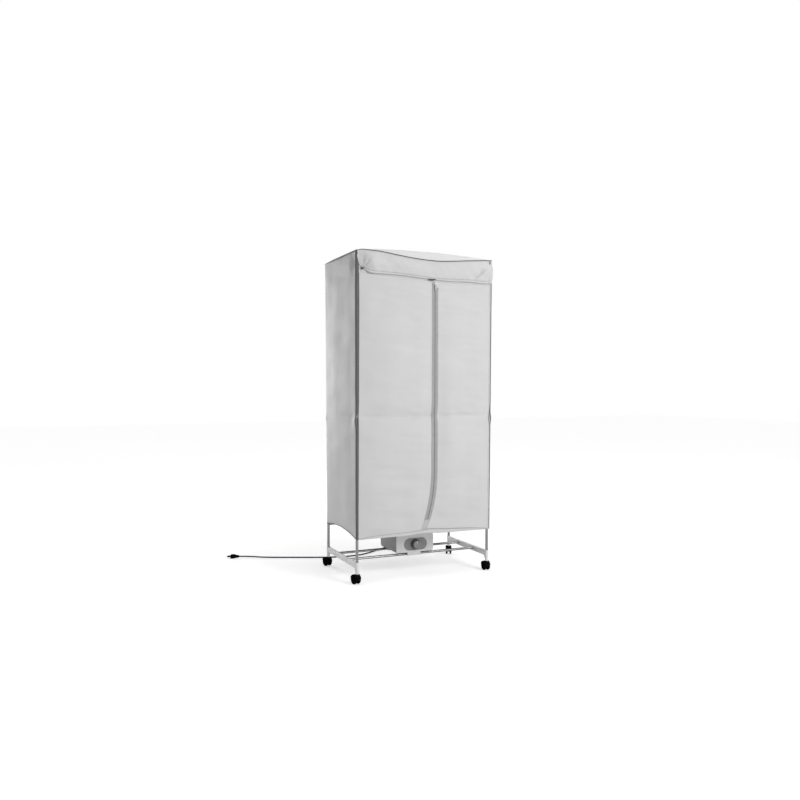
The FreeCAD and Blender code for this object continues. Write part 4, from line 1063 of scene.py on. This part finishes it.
        # The hem bead and the welt are darker than the flap: partly painted shade along the hem.
        bead = tube_piece("valance_hem", end + hem, 0.0009, 8)
        keep(bead, WELT_AND_SHADE_CLOTH, "binding_tape", "frame")
        welt = tube_piece(
            "valance_welt",
            [self.valance_point(run * (0.03 + 0.95 * t), 0.098, 0.0) for t in shares(self.hem_steps)],
            0.0008, 6,
        )
        keep(welt, WELT_AND_SHADE_CLOTH, "binding_tape", "frame")
        line = stitched(
            "valance_stitches",
            lambda t: self.valance_point(run * (0.03 + 0.95 * t), 0.125, 0.0002),
            run, Vector((0, -1, 0)),
        )
        keep(line, THREAD, "cover_cloth", "frame")
        self.tie()
        self.corner_loop()

    def tie(self) -> None:
        """Knotted cord that draws the valance's lower left corner together."""
        x, z = VALANCE.tie
        y = -FORM.half_deep(z) - 0.0040
        loop = []
        for i in range(28):
            a = math.tau * i / 28
            loop.append(Vector((
                x + 0.0018 + 0.0062 * math.cos(a),
                y - 0.0012 * math.sin(2 * a),
                z - 0.0010 + 0.0034 * math.sin(a),
            )))
        ring = tube_piece("valance_tie_loop", loop, 0.0012, 8, closed=True)
        keep(ring, BINDING_CLOTH, "binding_tape", "frame")
        knot = []
        for i in range(40):
            a = math.tau * i / 40
            r = 0.0026 + 0.0010 * math.cos(3 * a)
            knot.append(Vector((
                x - 0.0046 + r * math.cos(2 * a),
                y - 0.0008 + 0.0013 * math.sin(3 * a),
                z - 0.0018 + r * math.sin(2 * a),
            )))
        bead = tube_piece("valance_tie_knot", knot, 0.0012, 8, closed=True)
        keep(bead, BINDING_CLOTH, "binding_tape", "frame")
        for index, (dx, dz) in enumerate(((-0.0020, -0.0085), (0.0045, -0.0070))):
            tail = [
                Vector((x - 0.0046 + dx * t + 0.0012 * math.sin(3 * t), y - 0.0006 * t, z - 0.0030 + dz * t))
                for t in shares(8)
            ]
            end = tube_piece("valance_tie_tail_%d" % index, tail, 0.0009, 8)
            keep(end, BINDING_CLOTH, "binding_tape", "frame")

    def corner_loop(self) -> None:
        """Small cord loop sewn in at the right end of the front seam."""
        top = self.valance_point(self.valance_run - 0.026, 0.97, 0.0012)
        line = []
        for t in shares(20):
            line.append(top + Vector((
                0.0062 * t - 0.0010, -0.0016 * math.sin(math.pi * t), -0.0150 * math.sin(math.pi * t) ** 0.7,
            )))
        loop = tube_piece("corner_loop", line, 0.0014, 8)
        keep(loop, PIPING_CLOTH, "binding_tape", "frame")

    def corner_path(
        self, z: float, front: float, pad: float, turn: float
    ) -> list[tuple[float, float]]:
        """Section of the strip over a front corner: front leg, rounded corner, side leg."""
        wide, deep, r = FORM.half_wide(z) + FORM.knuckle(z), FORM.half_deep(z), FORM.front_r
        path = [(wide - front, -deep - 0.0003), (wide - front + 0.0010, -deep - pad)]
        for i in range(7):
            a = turn * i / 6
            path.append((wide - r + (r + pad) * math.sin(a), -deep + r - (r + pad) * math.cos(a)))
        path.append((path[-1][0] - 0.0006, path[-1][1] + 0.0010))
        return path

    def bindings(self) -> None:
        """Strips over the two front corners: dark tape on the left, self cloth and piping on the right."""
        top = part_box("corner_bindings")[1].z
        for side, name in ((-1, "left_binding"), (1, "right_binding")):
            def place(u: float, v: float) -> Vector:
                """Across the front leg, round the corner and along the side leg."""
                z = between(FORM.hem_z + 0.0005, top, v)
                pad = 0.0007 * math.sin(math.pi * u) + 0.0008
                front = 0.0104 + (0.0060 * held((z - 1.392) / 0.003) if side < 0 else 0.0)
                path = self.corner_path(z, front, pad, math.radians(62 if side < 0 else 90))
                spot = u * (len(path) - 1)
                i = min(len(path) - 2, int(spot))
                x = between(path[i][0], path[i + 1][0], spot - i)
                y = between(path[i][1], path[i + 1][1], spot - i)
                y += FORM.crease(z) * 0.6 * (1 - u)
                waver = EDGE_WAVER.at(u, z, side)
                return Vector((side * (x + waver), y, z))

            order = place if side > 0 else (lambda u, v, inner=place: inner(1 - u, v))
            piece = grid_piece(name, 20, 180, order)
            apply_modifier(piece, "SOLIDIFY", thickness=0.0006, offset=-1.0)
            smooth(piece, 60.0)
            if side < 0:
                keep(piece, BINDING_CLOTH, "binding_tape", "frame", "corner_bindings")
            else:
                keep(piece, COVER_CLOTH, "cover_cloth", "frame")
        line = []
        for i in range(121):
            z = between(FORM.hem_z + 0.001, top, i / 120)
            r = FORM.front_r + 0.0019
            wide, deep = FORM.half_wide(z) - FORM.front_r, FORM.half_deep(z) - FORM.front_r
            waver = FORM.knuckle(z) + EDGE_WAVER.at(0.5, z, 1)
            line.append(Vector((wide + r * math.cos(0.86) + waver, -deep - r * math.sin(0.86), z)))
        bead = tube_piece("right_corner_piping", line, 0.0030, 8)
        keep(bead, BINDING_CLOTH, "binding_tape", "frame")

    def edge_piping(self) -> None:
        """Piping round the roof's four seams: drooping in front, straight on the other sides."""
        deep, wide = FORM.half_deep(FORM.eaves_z), FORM.half_wide(FORM.eaves_z)
        run = self.valance_run
        front = [
            self.valance_point(0.0005 + (run - 0.010) * i / 180, 1.0, 0.0008) + Vector((0, 0, 0.0016))
            for i in range(181)
        ]
        z = FORM.eaves_z + 0.0012
        r = FORM.rear_r
        loop = [
            Vector((wide + 0.0020, -deep + 0.006, z + 0.0004)), Vector((wide + 0.0020, 0.060, z)),
            Vector((wide - 0.0005, 0.130, z)),
        ]
        for side in (1, -1):
            turn = []
            for i in range(7):
                a = math.pi / 2 * i / 6
                x = side * (wide - 0.008 - r + (r + 0.0020) * math.cos(a))
                turn.append(Vector((x, deep - r + (r + 0.0020) * math.sin(a), z)))
            loop += turn if side > 0 else turn[::-1]
        loop += [
            Vector((-wide + 0.0005, 0.130, z)),
            Vector((-wide - 0.0020, 0.060, z)),
            Vector((-wide - 0.0020, -deep + 0.012, z + 0.0004)),
            Vector((-wide + 0.0010, -deep - 0.0006, z + 0.0014)),
            Vector((-wide + 0.0080, -deep - 0.0022, z + 0.0050)),
        ]
        bead = tube_piece("front_piping", front, 0.0018, 10)
        keep(bead, PIPING_CLOTH, "binding_tape", "frame", "top_piping")
        rest = tube_piece("eaves_piping", loop, 0.0028, 10)
        keep(rest, BINDING_CLOTH, "binding_tape", "frame")

    def side_hems(self) -> None:
        """Bound lower edges of the sides and the back, with their stitching."""
        for side, name in ((-1, "left"), (1, "right")):
            line = []
            for i in range(61):
                y = (2 * i / 60 - 1) * (FORM.half_deep_hem - 0.003)
                line.append(FORM.side(side, y, FORM.arch(y) + 0.0006, 0.0001))
            bead = tube_piece(name + "_side_hem", line, 0.0021, 8)
            keep(bead, PIPING_CLOTH, "binding_tape", "frame")

            def seam(t: float, side: int = side) -> Vector:
                """Stitching a finger's width above the arched edge."""
                y = (2 * t - 1) * (FORM.half_deep_hem - 0.012)
                return FORM.side(side, y, FORM.arch(y) + 0.012, 0.0001)

            row = stitched(name + "_side_stitches", seam, 0.42, Vector((side, 0, 0)))
            keep(row, THREAD, "cover_cloth", "frame")
        z = FORM.hem_z + 0.0008
        y = FORM.half_deep(z)
        bead = tube_piece("back_hem", [Vector((x, y, z)) for x in (-0.335, 0.0, 0.335)], 0.0016, 8)
        keep(bead, PIPING_CLOTH, "binding_tape", "frame")


# ---- doors and zip ---------------------------------------------------------------
@dataclass
class Doors:
    """The two front flaps with their hems, stitching and halves of the zip."""

    gap: float = 0.0004
    zip_foot_z: float = 0.269
    tape_wide: float = 0.0160
    tooth_pitch: float = 0.0026

    def build(self) -> None:
        """Makes both doors and what is sewn to them."""
        for side, body in ((-1, "door_left"), (1, "door_right")):
            self.flap(side, body)
            self.zip_half(side, body)
            self.sewing(side, body)
        self.edge_tape()

    def flap(self, side: int, body: str) -> None:
        """One door's cloth, from its hinge seam to the zip."""
        def place(u: float, v: float) -> Vector:
            """Outside face, left to right and hem to top."""
            z = between(FORM.hem_z, 1.372, v)
            for _ in range(3):
                hinge = side * FORM.hinge_x(z)
                seam = FORM.seam_x(z) + side * self.gap
                x = between(hinge, seam, u) if side < 0 else between(seam, hinge, u)
                z = between(FORM.low_edge(x), FORM.door_top(x), v)
            return FORM.front(x, z)

        width = 76 if side < 0 else 66
        piece = cloth_piece(body + "_cloth", width, 240, place)
        keep(piece, COVER_CLOTH, "cover_cloth", body, body)

    def edge_tape(self) -> None:
        """Dark tape on the left door beside its hinge, wider towards the top."""
        def place(u: float, v: float) -> Vector:
            """Outside face, left to right."""
            z = between(FORM.hem_z + 0.004, 1.3962, v)
            x = -FORM.hinge_x(z) + 0.0004 + u * between(0.0012, 0.0066, min(1.0, 1.15 * v))
            return FORM.front(x, z, 0.0007)

        tape = cloth_piece("door_left_edge_tape", 4, 160, place, 0.0005)
        keep(tape, BINDING_CLOTH, "binding_tape", "door_left")

    def zip_line(self, t: float, off: float, proud: float, low: float, high: float) -> Vector:
        """A point beside the zip line, off to one side and proud of the cloth."""
        z = between(low, high, t)
        return FORM.front(FORM.seam_x(z) + off, z, proud)

    def zip_half(self, side: int, body: str) -> None:
        """Tape and teeth of one half of the zip."""
        node = "zip_tape_left" if side < 0 else "zip_tape_right"
        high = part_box(node)[1].z - 0.001
        low = self.zip_foot_z
        near, far = 0.0006, self.tape_wide

        def place(u: float, v: float) -> Vector:
            """Outside face of the tape."""
            off = between(-far, -near, u) if side < 0 else between(near, far, u)
            return self.zip_line(v, off, 0.0009, low, high)

        tape = cloth_piece(body + "_zip_tape", 6, 200, place, 0.0007)
        keep(tape, ZIP_CLOTH, "zip_tape", body, node)
        count = round((high - low - 0.006) / self.tooth_pitch)
        bead = bead_pattern(0.0034, 0.0017, 0.0012)
        shift = 0.25 if side < 0 else 0.75
        places = []
        for i in range(count):
            t = (i + shift) / count
            here = self.zip_line(t, side * 0.0014, 0.0011, low + 0.003, high - 0.002)
            ahead = self.zip_line(t + 0.002, side * 0.0014, 0.0011, low + 0.003, high - 0.002) - here
            across = Vector((ahead.z, 0, -ahead.x))
            places.append(seat(here, across, Vector((0, -1, 0))))
        teeth = copies_piece(body + "_zip_teeth", bead, places)
        keep(teeth, ZIP_NYLON, "zip_tape", body)

    def sewing(self, side: int, body: str) -> None:
        """Hem band, bead along the lower edge, and stitch rows beside the zip."""
        inner = lambda z: FORM.seam_x(z) + side * 0.0010
        outer = lambda z: side * (FORM.hinge_x(z) - 0.0015)

        def hem_point(share: float, height: float, proud: float) -> Vector:
            """A point of the hem, from the hinge to the zip and from the lower edge to the welt."""
            x = between(outer(FORM.hem_z), inner(FORM.hem_z + 0.01), share)
            low, high = FORM.low_edge(x), max(FORM.low_edge(x) + 0.002, FORM.hem_line(x))
            z = between(low, high, height)
            return FORM.front(x, z, proud)

        def band(u: float, v: float) -> Vector:
            """Outside face of the turned-up hem, which dies away at the corner."""
            return hem_point(u if side < 0 else 1 - u, between(0.02, 1.0, v), 0.0007)

        strip = cloth_piece(body + "_hem_band", 70, 5, band, 0.0006)
        keep(strip, COVER_CLOTH, "cover_cloth", body)
        # The welt is darker than the door: partly painted shade along the hem line.
        welt = tube_piece(
            body + "_hem_welt", [hem_point(t, 1.0, 0.0002) for t in shares(70)],
            0.0010 if side < 0 else 0.0018, 8,
        )
        keep(welt, WELT_AND_SHADE_CLOTH, "binding_tape", body)
        row = stitched(
            body + "_hem_stitches", lambda t: hem_point(t, 0.86, 0.0009), 0.35, Vector((0, -1, 0)),
        )
        keep(row, THREAD, "cover_cloth", body)
        bead = tube_piece(
            body + "_hem_edge", [hem_point(t, 0.04, 0.0004) for t in shares(60)], 0.0009, 8
        )
        keep(bead, FACING_CLOTH, "cover_cloth", body)
        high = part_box("zip_tape_left" if side < 0 else "zip_tape_right")[1].z - 0.004
        for index, off in enumerate((0.0138, 0.0150)):
            zip_row = stitched(
                "%s_zip_stitches_%d" % (body, index),
                lambda t, off=off: self.zip_line(t, side * off, 0.0010, self.zip_foot_z + 0.003, high),
                1.12, Vector((0, -1, 0)), 0.0050,
            )
            keep(zip_row, THREAD, "zip_tape", body)
        self.facing(side, body)

    def facing(self, side: int, body: str) -> None:
        """Strip of facing below the zip's foot, with its row of stitches."""
        low, high = 0.2245, self.zip_foot_z + 0.001

        def strip(u: float, v: float) -> Vector:
            """Outside face, beside the doors' meeting edges."""
            off = between(-0.0150, -0.0034, u) if side < 0 else between(0.0034, 0.0150, u)
            return self.zip_line(v, off, 0.0008, low, high)

        piece = cloth_piece(body + "_facing", 5, 16, strip, 0.0006)
        keep(piece, FACING_CLOTH, "cover_cloth", body)
        row = stitched(
            body + "_facing_stitches",
            lambda t: self.zip_line(t, side * 0.0158, 0.0003, low, high),
            0.045, Vector((0, -1, 0)), 0.0042,
        )
        keep(row, THREAD, "cover_cloth", body)


# ---- frame, casters and heater ---------------------------------------------------
@dataclass
class Hardware:
    """Rigid parts: the frame's nodes keep their shapes and get their finishes."""

    white: tuple[str, ...] = ("left_foot", "right_foot", "mid_connectors", "top_corner_connectors")
    zinc: tuple[str, ...] = ("rail_screws", "grille_screws", "fan_motor")
    black: tuple[str, ...] = ("timer_switch", "fan_impeller")
    tubes: tuple[str, ...] = ("lower_post", "upper_post", "bottom_rail", "mid_rail", "top_rail", "hanging")

    def build(self) -> None:
        """Dresses every rigid node that stays in view."""
        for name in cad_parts:
            if name.startswith(self.tubes):
                # Tubes get a dark base colour as painted reflection of dark surroundings.
                dress_node(name, TUBE_STEEL_PAINTED_REFLECTION)
            elif name.startswith("caster_"):
                dress_node(name, BLACK_PLASTIC)
        for names, finish in ((self.white, WHITE_PLASTIC), (self.zinc, ZINC), (self.black, BLACK_PLASTIC)):
            for name in names:
                dress_node(name, finish)
        # The fascia's finish is painted shade: white plastic set darker for the shade under the cover.
        dress_node("heater_fascia", FASCIA_PLASTIC_PAINTED_SHADE)
        dress_node("heater_shell", GREY_PLASTIC)
        dress_node("outlet_grille", GREY_PLASTIC)
        dress_node("control_panel", PANEL_PLASTIC)
        dress_node("timer_knob", KNOB_PLASTIC_AND_SHADE)
        dress_node("heating_element", FINS)
        dress_node("strain_relief", CORD_SHEATH)
        dress_node("plug", CORD_SHEATH)
        dress_node("zip_slider", DARK_METAL)
        dress_node("zip_pull", PULL_PAINT)
        self.knob_face()
        self.dial_marks()
        self.zip_end_shade_tab()

    @staticmethod
    def knob_hub() -> tuple[float, float]:
        """The knob's axis: its place from left to right and its height."""
        low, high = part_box("timer_knob")
        return (low.x + high.x) / 2, (low.z + high.z) / 2

    def knob_face(self) -> None:
        """Pale face of the knob, its pointer, and the grip ribs round its cone. The knob's near-black body
        and ribs are partly its own dark plastic and partly painted shade for its shaded side and the gap
        round it.
        """
        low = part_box("timer_knob")[0]
        hub_x, hub_z = self.knob_hub()
        deselect_all()
        bpy.ops.mesh.primitive_cylinder_add(
            vertices=64, radius=0.0184, depth=0.0010,
            location=(hub_x, low.y - 0.0003, hub_z), rotation=(math.pi / 2, 0, 0),
        )
        face = take_new("timer_knob_face")
        apply_modifier(face, "BEVEL", width=0.0003, segments=2)
        smooth(face, 40.0)
        keep(face, PANEL_PLASTIC, "grey_plastic", "timer_knob")
        deselect_all()
        bpy.ops.mesh.primitive_cube_add(size=1.0, location=(hub_x, low.y - 0.0010, hub_z + 0.0100))
        pointer = bpy.context.active_object
        pointer.scale = (0.0020, 0.0010, 0.0120)
        pointer = take_new("timer_knob_pointer")
        apply_modifier(pointer, "BEVEL", width=0.0003, segments=2)
        keep(pointer, MARK_PRINT, "grey_plastic", "timer_knob")
        rib = bead_pattern(0.0100, 0.0016, 0.0016)
        places = []
        for i in range(30):
            a = math.tau * i / 30
            out = Vector((math.cos(a), 0, math.sin(a)))
            spot = Vector((hub_x, low.y + 0.0062, hub_z)) + out * 0.0198
            places.append(seat(spot, Vector((0, 1, 0)) + out * 0.2, out))
        ribs = copies_piece("timer_knob_ribs", rib, places)
        keep(ribs, KNOB_PLASTIC_AND_SHADE, "grey_plastic", "timer_knob")

    def dial_marks(self) -> None:
        """Plain graduation marks on the panel, to the left and right of the knob."""
        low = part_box("control_panel")[0]
        hub_x, hub_z = self.knob_hub()
        mark = bead_pattern(0.0050, 0.0011, 0.0007)
        places = []
        for i in range(24):
            a = math.tau * i / 24
            if abs(math.sin(a)) > 0.75:
                continue
            out = Vector((math.cos(a), 0, math.sin(a)))
            places.append(seat(Vector((hub_x, low.y, hub_z)) + out * 0.0290, out, Vector((0, -1, 0))))
        marks = copies_piece("dial_marks", mark, places)
        keep(marks, MARK_PRINT, "grey_plastic", "frame")

    def zip_end_shade_tab(self) -> None:
        """Near-black tab under the valance over the zip's upper end: painted shade for the shadow under the
        valance's hem there.
        """
        def place(u: float, v: float) -> Vector:
            """Outside face: a low half round under the hem."""
            x = between(0.0050, 0.0480, u)
            drop = 0.0085 * math.sin(math.pi * u) ** 0.6
            z = 1.3870 - (1 - v) * drop
            return Vector((x, -FORM.half_deep(z) - 0.0072, z))

        tab = cloth_piece("zip_end_shade_tab", 16, 5, place, 0.0008)
        keep(tab, TAB_SHADE_CLOTH, "binding_tape", "frame")


# ---- power cord ------------------------------------------------------------------
@dataclass
class PowerCord:
    """The free cord: a smooth line through the same route as its solid."""

    radius: float = 0.00325
    lie: float = 0.00325
    length: float = 1.50

    def route(self) -> list[Point]:
        """The route's points, from the strain relief to the plug."""
        z = self.lie
        return [
            (0.030, 0.142, 0.132), (0.030, 0.180, 0.132), (0.034, 0.228, 0.113),
            (0.046, 0.270, 0.082), (0.064, 0.310, 0.051), (0.084, 0.346, 0.025),
            (0.110, 0.384, 0.0085), (0.142, 0.420, z), (0.182, 0.440, z),
            (0.222, 0.468, z), (0.236, 0.510, z), (0.205, 0.545, z),
            (0.160, 0.540, z), (0.120, 0.508, z), (0.068, 0.463, z),
            (0.020, 0.428, z), (-0.030, 0.397, z), (-0.080, 0.367, z),
            (-0.130, 0.353, z), (-0.190, 0.351, z), (-0.245, 0.361, z),
            (-0.300, 0.379, z), (-0.365, 0.406, z), (-0.440, 0.4405, z),
            (-0.520, 0.476, z), (-0.595, 0.510, 0.0042), (-0.655, 0.537, 0.0085),
            (-0.701, 0.557, 0.0085),
        ]

    def build(self) -> None:
        route = self.route()
        curve = bpy.data.curves.new("power_cord_line", "CURVE")
        curve.dimensions = "3D"
        curve.bevel_depth = self.radius
        curve.bevel_resolution = 4
        curve.resolution_u = 12
        curve.use_fill_caps = True
        spline = curve.splines.new("NURBS")
        spline.points.add(len(route) - 1)
        for slot, point in zip(spline.points, route):
            slot.co = (*point, 1.0)
        spline.order_u = 3
        spline.use_endpoint_u = True
        cord = bpy.data.objects.new("cord", curve)
        bpy.context.scene.collection.objects.link(cord)
        dress(cord, CORD_SHEATH)
        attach(cord, "frame")
        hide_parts("power_cord")
        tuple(route[0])


# ---- studio ----------------------------------------------------------------------
@dataclass
class Studio:
    """Plain pale floor, soft lamps and the photograph's viewpoint."""

    eye: Point = (-1.5901, -3.4817, 0.8961)
    yaw: float = 0.4199
    pitch: float = -0.0190
    lens: float = 35.29
    sky: float = 0.27
    floor_reach: tuple[float, float] = (0.6, 2.6)
    floor_glow: tuple[float, float] = (0.46, 0.72)
    lamps: tuple[tuple[str, Point, Point, float, float], ...] = (
        ("key", (1.6, -3.2, 2.4), (0.0, 0.0, 0.8), 1.6, 72.0),
        ("fill", (0.4, -2.8, 0.25), (0.0, 0.0, 0.35), 1.2, 21.0),
        ("top", (0.3, -0.2, 4.2), (0.0, 0.0, 0.8), 2.6, 33.0),
        ("left", (-1.9, 0.1, 0.12), (-0.35, 0.0, 0.25), 0.7, 4.2),
        ("rim", (-1.2, 3.6, 1.2), (-0.3, 0.1, 0.8), 1.4, 50.0),
    )

    def build(self) -> None:
        """Sets up floor, world, lamps and camera."""
        scene = bpy.context.scene
        scene.view_settings.view_transform = "Standard"
        self.floor()
        self.world()
        for lamp in self.lamps:
            self.lamp(*lamp)
        camera_data = bpy.data.cameras.new("view")
        camera_data.lens = self.lens
        camera_data.sensor_width = 36.0
        camera = bpy.data.objects.new("view", camera_data)
        camera.location = self.eye
        camera.rotation_euler = (math.pi / 2 + self.pitch, 0.0, -self.yaw)
        scene.collection.objects.link(camera)
        scene.camera = camera

    def seen_directly(self, tree: bpy.types.NodeTree) -> bpy.types.NodeSocket:
        """Socket that is 1 for what the camera, a mirror or glass sees."""
        path = tree.nodes.new("ShaderNodeLightPath")
        either = joined(tree, "MAXIMUM", path.outputs["Is Camera Ray"], path.outputs["Is Glossy Ray"])
        return joined(tree, "MAXIMUM", either, path.outputs["Is Transmission Ray"])

    def floor(self) -> None:
        """A wide pale floor that shows white and keeps a soft shadow."""
        deselect_all()
        bpy.ops.mesh.primitive_plane_add(size=30.0, location=(0, 0, 0))
        floor = take_new("floor")
        material = bpy.data.materials.new("floor_white")
        material.use_nodes = True
        tree = material.node_tree
        shader = tree.nodes["Principled BSDF"]
        shader.inputs["Base Color"].default_value = (0.84, 0.84, 0.84, 1)
        shader.inputs["Roughness"].default_value = 0.9
        shader.inputs["Specular IOR Level"].default_value = 0.1
        shader.inputs["Emission Color"].default_value = (1, 1, 1, 1)
        where = tree.nodes.new("ShaderNodeTexCoord")
        away = tree.nodes.new("ShaderNodeVectorMath")
        away.operation = "LENGTH"
        tree.links.new(where.outputs["Object"], away.inputs[0])
        ramp = spread(tree, away.outputs["Value"], *self.floor_reach, *self.floor_glow)
        ramp.interpolation_type = "SMOOTHSTEP"
        glow = joined(tree, "MULTIPLY", self.seen_directly(tree), ramp.outputs["Result"])
        tree.links.new(glow, shader.inputs["Emission Strength"])
        floor.data.materials.append(material)

    def world(self) -> None:
        """White surroundings to the eye, with a gentler light on the object."""
        world = bpy.data.worlds.new("studio")
        bpy.context.scene.world = world
        world.use_nodes = True
        tree = world.node_tree
        background = tree.nodes["Background"]
        background.inputs["Color"].default_value = (1, 1, 1, 1)
        level = spread(tree, self.seen_directly(tree), 0.0, 1.0, self.sky, 1.0)
        tree.links.new(level.outputs["Result"], background.inputs["Strength"])

    def lamp(self, name: str, place: Point, target: Point, size: float, power: float) -> None:
        """Adds a square soft lamp that faces a point."""
        data = bpy.data.lights.new(name, "AREA")
        data.size = size
        data.energy = power
        lamp = bpy.data.objects.new(name, data)
        lamp.location = place
        aim = Vector(target) - Vector(place)
        lamp.rotation_euler = aim.to_track_quat("-Z", "Y").to_euler()
        bpy.context.scene.collection.objects.link(lamp)


def main() -> None:
    """Builds the studio and the cabinet."""
    logging.basicConfig(level=logging.INFO, format="%(name)s: %(message)s")
    for part in (Studio(), PowerCord(), Hardware(), Cover(), Doors()):
        part.build()
        LOG.info("%s done", type(part).__name__)


if __name__ == "__main__":
    main()
